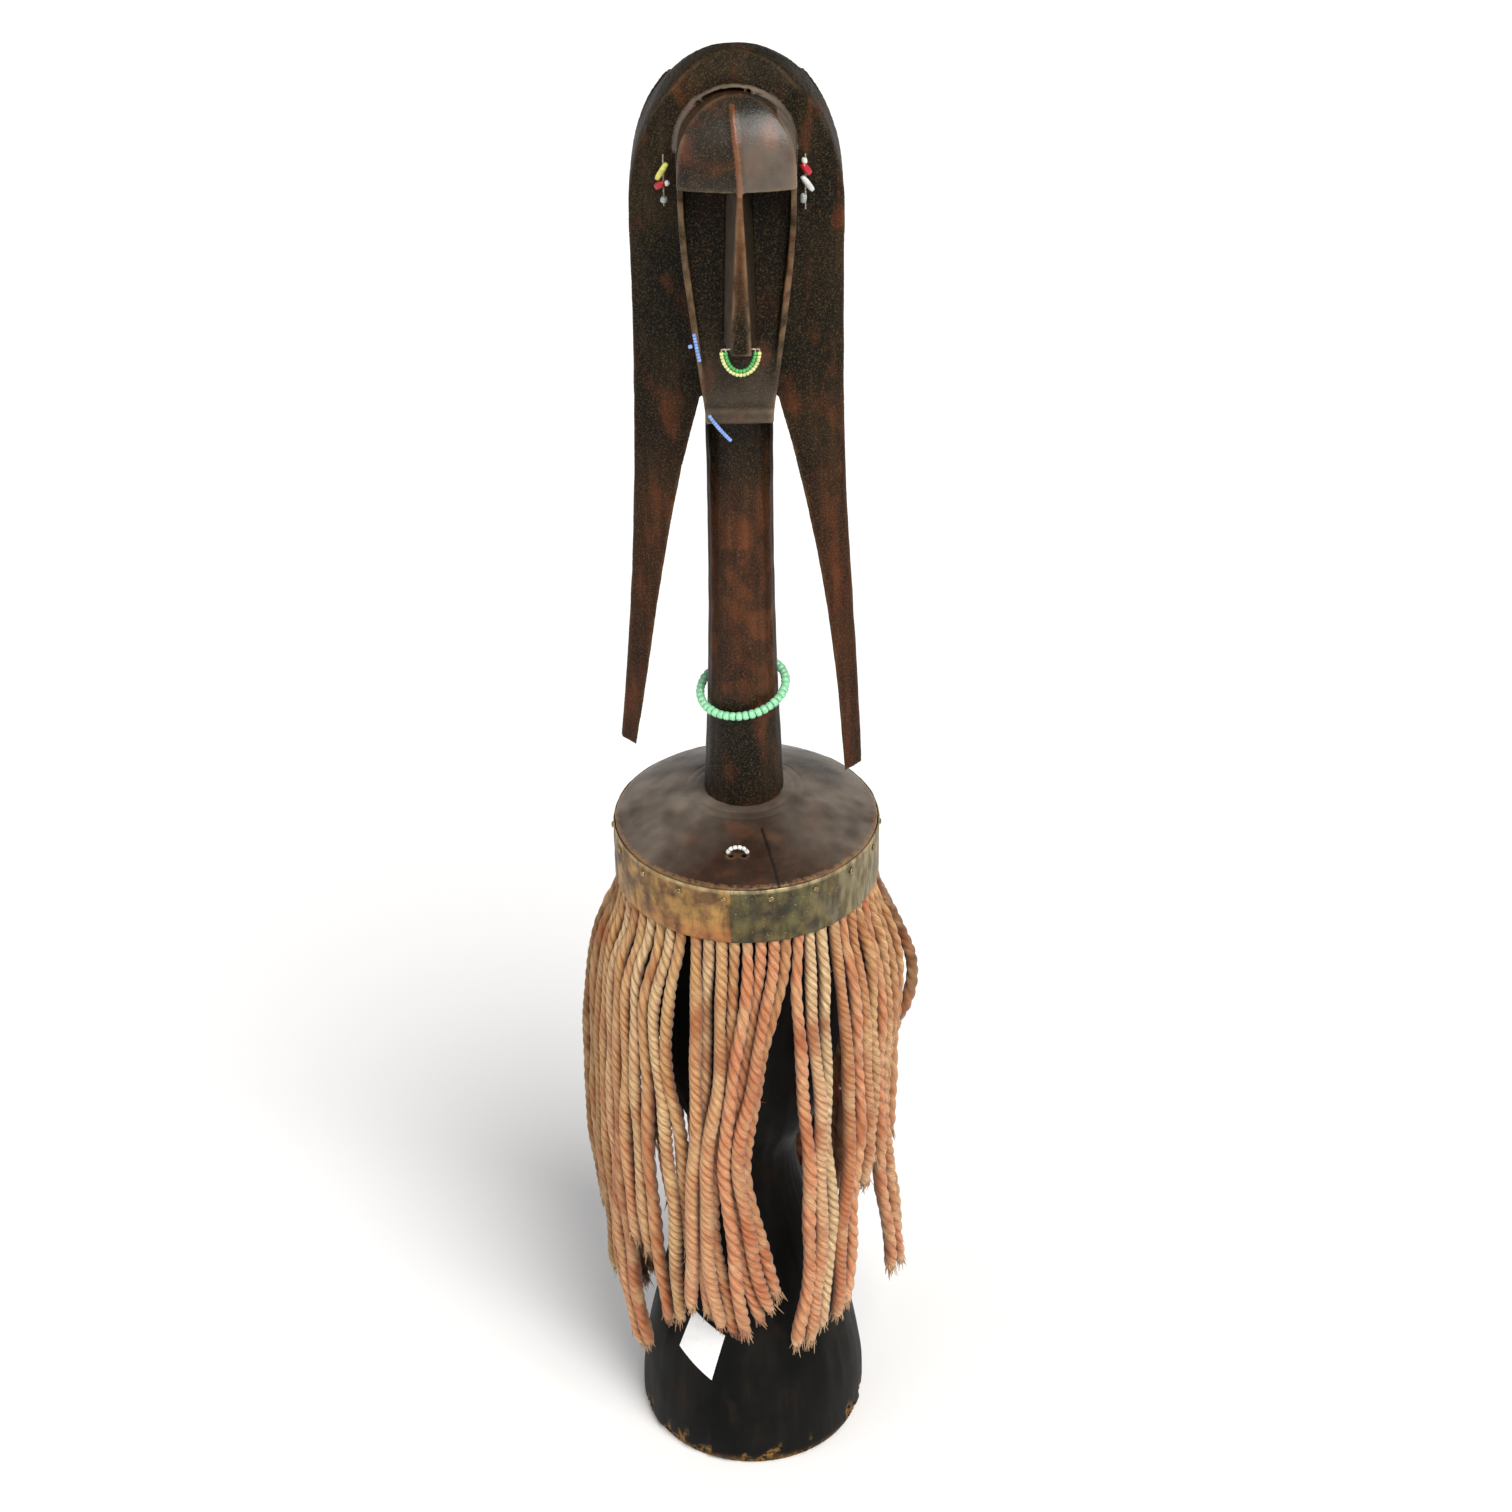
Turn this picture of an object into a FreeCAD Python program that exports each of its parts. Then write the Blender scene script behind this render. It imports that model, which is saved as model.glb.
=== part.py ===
import FreeCAD, Part
import math
import os

V = FreeCAD.Vector
os.makedirs("parts", exist_ok=True)

# Carved ancestor figure: a long-nosed head with a slab coiffure on a tall neck, set in a domed
# shoulder disc with a nailed rim band, over a skirt of hanging cords and a waisted black pedestal.
# Frame: origin on the floor at the centre of the pedestal, +Z up, the face looks along -Y.
# Angles around the skirt are degrees from the front (-Y), positive towards +X.

DIMENSIONS = {
    # whole figure
    "overall_height": 700.0,
    "pedestal_height": 321.0,
    # shoulder disc and its band
    "disc_radius": 58.3,
    "disc_wall_height": 28.0,
    "disc_dome_rise": 13.0,
    "rebate_radius": 50.0,
    "rebate_height": 12.0,
    "band_thickness": 1.2,
    # neck
    "head_shift": -0.8,
    "neck_offset": 5.0,
    "neck_top_radius": 13.8,
    "neck_foot_radius": 17.5,
    "tenon_radius": 9.0,
    "tenon_length": 21.0,
    # coiffure and face
    "hair_half_width": 42.0,
    "hair_arch_height": 65.0,
    "face_half_width": 22.5,
    "face_arch_height": 23.5,
    "brow_height": 655.0,
    "chin_height": 559.0,
    # pedestal
    "base_radius": 55.0,
    "waist_radius": 22.0,
    "waist_height": 163.0,
    "bell_radius": 47.0,
    "spigot_radius": 14.0,
    "spigot_length": 12.0,
    # skirt
    "cord_diameter": 5.2,
    "cord_ring_radius": 54.6,
    "tie_diameter": 1.8,
    # beads
    "neck_bead_diameter": 4.0,
    "small_bead_diameter": 1.6,
    "thread_diameter": 0.6,
}

doc = FreeCAD.newDocument("ancestor_figure")
sheet = doc.addObject("Spreadsheet::Sheet", "Dimensions")
for row, (alias, value) in enumerate(DIMENSIONS.items(), start=1):
    sheet.set(f"A{row}", alias)
    sheet.set(f"B{row}", str(value))
    sheet.setAlias(f"B{row}", alias)
doc.recompute()


def size(alias):
    return float(sheet.get(alias))


NODES = []


def add_node(obj, label):
    obj.Label = label
    NODES.append(obj)
    return obj


def add_solid(label, shape):
    """A sub-part whose shape is set directly, placed at the frame's origin."""
    obj = doc.addObject("Part::Feature", label)
    obj.Shape = shape
    obj.Placement = FreeCAD.Placement()
    return add_node(obj, label)


def add_primitive(kind, name, **expressions):
    obj = doc.addObject(kind, name)
    for prop, expression in expressions.items():
        obj.setExpression(prop, expression)
    return obj


def around(angle, radius, z):
    """A point at an angle from the front, a radius and a height."""
    a = math.radians(angle)
    return V(radius * math.sin(a), -radius * math.cos(a), z)


def prism(points, along):
    """A solid made by pushing a closed polygon of points along a vector."""
    return Part.Face(Part.makePolygon(points + [points[0]])).extrude(along)


def side_prism(outline, half_width):
    """A prism across X from (y, z) points."""
    points = [V(-half_width, y, z) for y, z in outline]
    return prism(points, V(2 * half_width, 0, 0))


def plan_prism(outline, bottom, top):
    """A prism up Z from (x, y) points."""
    points = [V(x, y, bottom) for x, y in outline]
    return prism(points, V(0, 0, top - bottom))


def spline(points):
    curve = Part.BSplineCurve()
    curve.interpolate(points)
    return curve.toShape()


def upright_spline(points):
    """A spline whose two ends run straight up."""
    up = V(0, 0, 1)
    curve = Part.BSplineCurve()
    curve.interpolate(Points=points, InitialTangent=up, FinalTangent=up)
    return curve.toShape()


def line(start, end):
    return Part.LineSegment(start, end).toShape()


def half_ellipse(half_width, rise, centre_z, y):
    """The upper half of an ellipse in the XZ plane."""
    centre = V(0, y, centre_z)
    top = V(0, y, centre_z + rise)
    side = V(half_width, y, centre_z)
    quarter = math.pi / 2
    if rise > half_width:
        return Part.ArcOfEllipse(Part.Ellipse(top, side, centre), -quarter, quarter).toShape()
    return Part.ArcOfEllipse(Part.Ellipse(side, top, centre), 0, 2 * quarter).toShape()


def closed_face(edges):
    return Part.Face(Part.Wire(Part.__sortEdges__(edges)))


def cord_wire(points):
    """Straight runs joined by tangent arcs, each as large as its two runs allow, and the radii."""
    edges = []
    radii = []
    start = points[0]
    for before, corner, after in zip(points, points[1:], points[2:]):
        back = before - corner
        ahead = after - corner
        reach = 0.45 * min(back.Length, ahead.Length)
        half_turn = (math.pi - back.getAngle(ahead)) / 2
        radius = reach / math.tan(half_turn)
        back.normalize()
        ahead.normalize()
        arc_start = corner + back * reach
        arc_end = corner + ahead * reach
        bisector = back + ahead
        bisector.normalize()
        centre = corner + bisector * (radius / math.cos(half_turn))
        middle = centre - bisector * radius
        edges.append(line(start, arc_start))
        edges.append(Part.Arc(arc_start, middle, arc_end).toShape())
        radii.append(radius)
        start = arc_end
    edges.append(line(start, points[-1]))
    return Part.Wire(edges), radii


def tube(points, diameter):
    """A round solid along a cord's wire, checked against section times length."""
    wire, radii = cord_wire(points)
    direction = points[1] - points[0]
    section = Part.Wire(Part.makeCircle(diameter / 2, points[0], direction))
    solid = wire.makePipeShell([section], True, True)
    expected = math.pi * diameter ** 2 / 4 * wire.Length
    if abs(solid.Volume - expected) > 0.01 * expected:
        raise ValueError(f"tube volume {solid.Volume:.1f} differs from {expected:.1f}")
    return solid, wire.Length, radii


# Carved head: coiffure, face and neck are one piece of wood.

HEAD_TOP = size("overall_height")
ARCH_CENTRE = HEAD_TOP - size("hair_arch_height")
DISC_TOP = size("pedestal_height") + size("disc_wall_height") + size("disc_dome_rise")
SEAT = DISC_TOP - 1.0
HEAD_X = size("head_shift")
NECK_Y = size("neck_offset")
HAIR_CURVE_RADIUS = 75.0
HAIR_CURVE_CENTRE = 58.0
HAIR_BACK = 18.0
TAIL_OUTER = [(42.0, 580.0), (43.5, 515.0), (47.0, 455.0)]
TAIL_INNER = [(15.4, 560.4), (26.0, 515.0), (35.7, 458.0)]
TAIL_TIP_OUTER = {-1: (53.0, 387.0), 1: (51.5, 373.0)}
TAIL_TIP_INNER = {-1: (46.5, 386.0), 1: (44.0, 372.0)}
CROWN_DEPTH = 19.5
CROWN_RISE = 62.0


def coiffure():
    """Arched slab with two long tails, rounded across its front and over its top."""
    y = -40.0
    edges = [half_ellipse(size("hair_half_width"), size("hair_arch_height"), ARCH_CENTRE, y)]
    for side in (1, -1):
        outer_points = [(size("hair_half_width"), ARCH_CENTRE)] + TAIL_OUTER + [TAIL_TIP_OUTER[side]]
        inner_points = TAIL_INNER + [TAIL_TIP_INNER[side]]
        outer = [V(side * x, y, z) for x, z in outer_points]
        inner = [V(side * x, y, z) for x, z in inner_points]
        edges.append(spline(outer))
        edges.append(line(outer[-1], inner[-1]))
        edges.append(spline(inner))
    inner_x, inner_z = TAIL_INNER[0]
    edges.append(line(V(-inner_x, y, inner_z), V(inner_x, y, inner_z)))
    slab = closed_face(edges).extrude(V(0, HAIR_BACK - y, 0))
    round_front = Part.makeCylinder(HAIR_CURVE_RADIUS, 400, V(0, HAIR_CURVE_CENTRE, 350))
    crown_centre = V(-100, -1.0, ARCH_CENTRE + 5.0)
    crown_top = crown_centre + V(0, 0, CROWN_RISE)
    crown_curve = Part.Ellipse(crown_top, crown_centre + V(0, CROWN_DEPTH, 0), crown_centre)
    crown = closed_face([crown_curve.toShape()]).extrude(V(200, 0, 0))
    below = Part.makeBox(200, 200, 400, V(-100, -100, crown_centre.z - 400))
    return slab.common(round_front).common(crown.fuse(below))


FACE_X = -0.6
FOREHEAD_CENTRE = V(0, -5.0, size("brow_height"))
FOREHEAD_RADII = (53.6, 32.5, 36.6)
CHIN_Y = -35.0
LIP_Y = -36.5


def forehead_dome(swell):
    """The upper half of an ellipsoid, its radii grown by a swell."""
    stretch = FreeCAD.Matrix()
    stretch.scale(*[radius + swell for radius in FOREHEAD_RADII])
    dome = Part.makeSphere(1.0, V(0, 0, 0), V(0, 0, 1), 0, 90, 360).transformGeometry(stretch)
    dome.translate(FOREHEAD_CENTRE)
    return dome


def face_outline(half_width, rise, y):
    """The mask's closed front outline: an arched brow, sides that taper to a narrow chin."""
    centre_z = size("brow_height") + 9.0
    jaw = 13.5
    right = [(half_width, centre_z), (half_width - 1.0, 625.0), (half_width - 4.2, 597.0), (jaw, 562.0)]
    edges = [half_ellipse(half_width, rise, centre_z, y)]
    for side in (1, -1):
        edges.append(spline([V(side * x, y, z) for x, z in right]))
        edges.append(line(V(side * jaw, y, 562.0), V(side * jaw, y, 536.0)))
    edges.append(line(V(-jaw, y, 536.0), V(jaw, y, 536.0)))
    return closed_face(edges)


def face_block():
    """Domed forehead with a centre ridge, raised side rims, a hollow for the cheeks and a lip."""
    half_width = size("face_half_width")
    brow = size("brow_height")
    chin = size("chin_height")
    wood = face_outline(half_width, size("face_arch_height"), -60.0).extrude(V(0, 60.0, 0))
    ridge_face = [(-2.0, 684.0), (-1.0, 684.0), (1.0, 668.0), (1.9, brow), (0.6, brow), (-0.2, 668.0)]
    ridge = prism([V(x, -60.0, z) for x, z in ridge_face], V(0, 45.0, 0)).common(forehead_dome(0.6))
    lower = side_prism(
        [(-29.0, brow), (CHIN_Y, chin + 6.2), (LIP_Y, chin + 4.8), (LIP_Y, chin), (-34.0, chin - 1.5),
         (-9.0, 545.0), (0.0, 543.0), (0.0, brow)], 40.0)
    hollow_sides = face_outline(half_width - 2.6, 20.0, -60.0).extrude(V(0, 60.0, 0))
    hollow_depth = side_prism([(-60.0, brow), (-19.0, brow), (CHIN_Y - 0.5, 566.0), (-60.0, 566.0)], 40.0)
    hollow = hollow_sides.common(hollow_depth)
    block = wood.common(forehead_dome(0.0).fuse(lower)).cut(hollow).fuse(ridge)
    block.translate(V(FACE_X, 0, 0))
    return block


NOSE_HOLE = V(0, -43.5, 594.0)
NOSE_FOOT = 591.5


def nose():
    """Long wedge with a flat front facet that widens downwards."""
    sections = []
    for z, back, back_left, back_right, front, front_left, front_right in (
        (size("brow_height") + 1.0, -12.0, -6.4, 6.4, -37.0, -0.4, 1.2),
        (NOSE_FOOT, -24.0, -8.0, 7.8, -45.2, -3.9, 4.3),
    ):
        corners = [(back_left, back), (front_left, front), (front_right, front), (back_right, back)]
        points = [V(x, y, z) for x, y in corners]
        sections.append(Part.makePolygon(points + [points[0]]))
    return Part.makeLoft(sections, True, True)


def diadem():
    """Thin raised ridge over the forehead, ending in a knob at each temple."""
    centre_z = size("brow_height") + 9.0
    outer_half = size("face_half_width") + 0.9
    rise = size("face_arch_height") + 2.6
    edge = 1.1
    solids = []
    for half_width, height in ((outer_half, rise), (outer_half - edge, rise - edge)):
        arch = half_ellipse(half_width, height, centre_z, -30.0)
        foot = line(V(-half_width, -30.0, centre_z), V(half_width, -30.0, centre_z))
        solids.append(closed_face([arch, foot]).extrude(V(0, 25.0, 0)))
    ridge = solids[0].cut(solids[1])
    height_limit = Part.makeCylinder(HAIR_CURVE_RADIUS + 1.2, 200, V(0, HAIR_CURVE_CENTRE, 600))
    ridge = ridge.common(height_limit)
    knob_x = outer_half - edge / 2
    knob_y = HAIR_CURVE_CENTRE - math.sqrt(HAIR_CURVE_RADIUS ** 2 - knob_x ** 2)
    for side in (-1, 1):
        ridge = ridge.fuse(Part.makeSphere(1.4, V(side * knob_x, knob_y, centre_z)))
    ridge.translate(V(-1.1, 0, 0))
    return ridge


def neck():
    """Round column, a little swollen low down, with a foot on the disc and a tenon into it."""
    top_radius = size("neck_top_radius")
    foot_radius = size("neck_foot_radius")
    profile = [(top_radius, 545.0), (top_radius, 480.0), (14.6, 432.0), (16.0, 395.0), (foot_radius, SEAT)]
    wall = spline([V(r, NECK_Y, z) for r, z in profile])
    edges = [
        wall,
        line(V(foot_radius, NECK_Y, SEAT), V(0, NECK_Y, SEAT)),
        line(V(0, NECK_Y, SEAT), V(0, NECK_Y, 545.0)),
        line(V(0, NECK_Y, 545.0), V(top_radius, NECK_Y, 545.0)),
    ]
    column = Part.Face(Part.Wire(edges)).revolve(V(0, NECK_Y, 0), V(0, 0, 1), 360)
    core = Part.makeCylinder(top_radius, 30.0, V(0, NECK_Y, 540.0))
    tenon = Part.makeCylinder(
        size("tenon_radius"), size("tenon_length") + 2.0, V(0, NECK_Y, SEAT - size("tenon_length")))
    return column.fuse(core).fuse(tenon)


EAR_X = {"left": -28.6, "right": 25.6}
EAR_Z = 660.5
EAR_HOLE_RADIUS = 0.7
EAR_HOLE_END = -6.0


def ear_hole(side):
    return Part.makeCylinder(EAR_HOLE_RADIUS, 20.0, V(EAR_X[side], EAR_HOLE_END, EAR_Z), V(0, -1, 0))


hair_and_neck = coiffure().fuse(neck())
hair_and_neck.translate(V(HEAD_X, 0, 0))
head = hair_and_neck.fuse([face_block(), nose(), diadem()])
head = head.cut(Part.makeCylinder(0.8, 30.0, V(-15, NOSE_HOLE.y, NOSE_HOLE.z), V(1, 0, 0)))
for side in EAR_X:
    head = head.cut(ear_hole(side))
add_solid("carved_head", head.removeSplitter())


# Shoulder disc: a turned dome with a rebate for the cords, a socket above and one below.

DISC_BOTTOM = size("pedestal_height")
RIM = DISC_BOTTOM + size("disc_wall_height")
disc_wall = add_primitive(
    "Part::Cylinder", "DiscWall", Radius="Dimensions.disc_radius",
    Height="Dimensions.disc_wall_height - Dimensions.rebate_height")
disc_wall.Placement = FreeCAD.Placement(V(0, 0, DISC_BOTTOM + size("rebate_height")), FreeCAD.Rotation())
disc_plug = add_primitive(
    "Part::Cylinder", "DiscPlug", Radius="Dimensions.rebate_radius", Height="Dimensions.rebate_height")
disc_plug.Placement = FreeCAD.Placement(V(0, 0, DISC_BOTTOM), FreeCAD.Rotation())
dome_radius = (size("disc_radius") ** 2 + size("disc_dome_rise") ** 2) / (2 * size("disc_dome_rise"))
dome = doc.addObject("Part::Feature", "DiscDome")
dome_ball = Part.makeSphere(dome_radius, V(0, 0, RIM + size("disc_dome_rise") - dome_radius))
dome.Shape = dome_ball.common(Part.makeCylinder(size("disc_radius"), 40.0, V(0, 0, RIM - 0.5)))
disc_blank = doc.addObject("Part::MultiFuse", "DiscBlank")
disc_blank.Shapes = [disc_wall, disc_plug, dome]

neck_socket = add_primitive(
    "Part::Cylinder", "NeckSocket", Radius="Dimensions.tenon_radius", Height="Dimensions.tenon_length + 20")
neck_socket.Placement = FreeCAD.Placement(
    V(HEAD_X, NECK_Y, SEAT - size("tenon_length")), FreeCAD.Rotation())
neck_seat = add_primitive("Part::Cylinder", "NeckSeat", Radius="Dimensions.neck_foot_radius + 0.6")
neck_seat.Placement = FreeCAD.Placement(V(HEAD_X, NECK_Y, SEAT), FreeCAD.Rotation())
spigot_socket = add_primitive(
    "Part::Cylinder", "SpigotSocket", Radius="Dimensions.spigot_radius", Height="Dimensions.spigot_length")
spigot_socket.Placement = FreeCAD.Placement(V(0, 0, DISC_BOTTOM), FreeCAD.Rotation())

CHEST = around(-5.5, 41.5, RIM)
CHEST_HOLE_SPAN = 5.6
chest_holes = doc.addObject("Part::Feature", "ChestHoles")
chest_holes.Shape = Part.makeCompound([
    Part.makeCylinder(1.1, 30.0, V(CHEST.x + shift, CHEST.y, RIM - 6.0))
    for shift in (-CHEST_HOLE_SPAN / 2, CHEST_HOLE_SPAN / 2)])
crack = doc.addObject("Part::Feature", "RadialCrack")
crack.Shape = prism([around(13.0, 21.0, RIM - 2.0), around(14.3, 21.0, RIM - 2.0),
                     around(14.5, 59.0, RIM - 2.0), around(13.9, 59.0, RIM - 2.0)], V(0, 0, 30.0))

TACK_COUNT = 18
TACK_Z = RIM - 5.0
TACK_SHANK_RADIUS = 0.6
TACK_SHANK_LENGTH = 9.0
TACK_HEAD_RADIUS = 1.6
BAND_RADIUS = size("disc_radius") + size("band_thickness")


def tack_shanks():
    """Radial shanks that start at the band's outer face and run into the disc."""
    shanks = []
    for step in range(TACK_COUNT):
        angle = (step + 0.5) * 360.0 / TACK_COUNT
        outer = around(angle, BAND_RADIUS, TACK_Z)
        inward = around(angle + 180.0, 1.0, 0.0)
        shanks.append(Part.makeCylinder(TACK_SHANK_RADIUS, TACK_SHANK_LENGTH, outer, inward))
    return shanks


nail_paths = doc.addObject("Part::Feature", "NailPaths")
nail_paths.Shape = Part.makeCompound(tack_shanks())
disc_cutters = doc.addObject("Part::Compound", "DiscCutters")
disc_cutters.Links = [neck_socket, neck_seat, spigot_socket, chest_holes, crack, nail_paths]
disc = doc.addObject("Part::Cut", "ShoulderDisc")
disc.Base = disc_blank
disc.Tool = disc_cutters
add_node(disc, "shoulder_disc")


# Rim band: a bent strip round the disc, its ends lapped at the front.

band_outer = add_primitive(
    "Part::Cylinder", "BandOuter", Radius="Dimensions.disc_radius + Dimensions.band_thickness",
    Height="Dimensions.disc_wall_height")
band_outer.Placement = FreeCAD.Placement(V(0, 0, DISC_BOTTOM), FreeCAD.Rotation())
band_inner = add_primitive(
    "Part::Cylinder", "BandInner", Radius="Dimensions.disc_radius", Height="Dimensions.disc_wall_height + 2")
band_inner.Placement = FreeCAD.Placement(V(0, 0, DISC_BOTTOM - 1.0), FreeCAD.Rotation())
LAP_ANGLE = -7.0
lap_seam = doc.addObject("Part::Feature", "LapSeam")
lap_seam.Shape = prism([around(LAP_ANGLE, BAND_RADIUS - 0.9, DISC_BOTTOM - 1.0),
                        around(LAP_ANGLE, BAND_RADIUS + 1.0, DISC_BOTTOM - 1.0),
                        around(LAP_ANGLE + 0.6, BAND_RADIUS + 1.0, DISC_BOTTOM - 1.0)], V(0, 0, 40.0))
band_cutters = doc.addObject("Part::Compound", "BandCutters")
band_cutters.Links = [band_inner, lap_seam, nail_paths]
band = doc.addObject("Part::Cut", "RimBand")
band.Base = band_outer
band.Tool = band_cutters
add_node(band, "rim_band")


# Band tacks: a low flat head on each shank, all alike.

def tacks():
    solids = []
    for step, shank in enumerate(tack_shanks()):
        angle = (step + 0.5) * 360.0 / TACK_COUNT
        face = around(angle, BAND_RADIUS, TACK_Z)
        outward = around(angle, 1.0, 0.0)
        flat = Part.makeCylinder(TACK_HEAD_RADIUS, 0.9, face, outward)
        solids.append(shank.fuse(flat).removeSplitter())
    return Part.makeCompound(solids)


add_solid("band_tacks", tacks())


# Pedestal: a waisted turned column of solid wood, with a spigot into the disc.

BASE_RADIUS = size("base_radius")
WAIST_RADIUS = size("waist_radius")
WAIST_Z = size("waist_height")
BELL_RADIUS = size("bell_radius")
FOOT_EDGE = 3.0
LOWER_WALL = [(BASE_RADIUS, 9.0), (49.0, 58.0), (31.0, 124.0), (WAIST_RADIUS, WAIST_Z)]
UPPER_WALL = [(WAIST_RADIUS, WAIST_Z), (31.0, 184.0), (38.5, 206.0), (44.5, 250.0)]
UPPER_WALL.append((BELL_RADIUS, DISC_BOTTOM))


def turned(edges):
    """The solid of revolution about Z of a closed profile in the XZ plane."""
    return Part.Face(Part.Wire(edges)).revolve(V(0, 0, 0), V(0, 0, 1), 360)


def pedestal():
    spigot = size("spigot_radius")
    spigot_top = DISC_BOTTOM + size("spigot_length")
    foot = [V(0, 0, 0), V(BASE_RADIUS - FOOT_EDGE, 0, 0), V(BASE_RADIUS, 0, FOOT_EDGE)]
    foot.append(V(BASE_RADIUS, 0, LOWER_WALL[0][1]))
    top = [V(BELL_RADIUS, 0, DISC_BOTTOM), V(spigot, 0, DISC_BOTTOM), V(spigot, 0, spigot_top)]
    top += [V(0, 0, spigot_top), foot[0]]
    edges = [line(a, b) for a, b in zip(foot, foot[1:])]
    edges.append(upright_spline([V(r, 0, z) for r, z in LOWER_WALL]))
    edges.append(upright_spline([V(r, 0, z) for r, z in UPPER_WALL]))
    edges += [line(a, b) for a, b in zip(top, top[1:])]
    return turned(edges)


column = pedestal()
add_solid("pedestal", column)


# Paper label: a small blank sheet stuck askew on the pedestal's lower flare.

LABEL_ANGLE = -32.0
LABEL_CORNERS = [(-6.3, 84.0), (11.6, 76.0), (7.6, 50.2), (-12.5, 60.5)]
LABEL_THICKNESS = 0.3


def paper_label():
    """The part of a thin skin on the flare that lies behind four corners, (sideways, height)."""
    wall = [V(r + LABEL_THICKNESS, 0, z) for r, z in LOWER_WALL]
    top, bottom = V(0, 0, wall[-1].z), V(0, 0, wall[0].z)
    skin = turned([upright_spline(wall), line(wall[-1], top), line(top, bottom), line(bottom, wall[0])])
    corners = [around(LABEL_ANGLE, 30.0, z) + around(LABEL_ANGLE + 90.0, sideways, 0)
               for sideways, z in LABEL_CORNERS]
    return skin.common(prism(corners, around(LABEL_ANGLE, 40.0, 0))).cut(column)


add_solid("paper_label", paper_label())


# Skirt: limp twisted cords held between the disc's rebate and the band by a tie cord.

TIE_Z = DISC_BOTTOM + 6.0
tie = add_primitive(
    "Part::Torus", "SkirtTie", Radius1="Dimensions.rebate_radius + Dimensions.tie_diameter / 2 + 0.1",
    Radius2="Dimensions.tie_diameter / 2")
tie.Placement = FreeCAD.Placement(V(0, 0, TIE_Z), FreeCAD.Rotation())
add_node(tie, "skirt_tie_cord")

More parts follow.
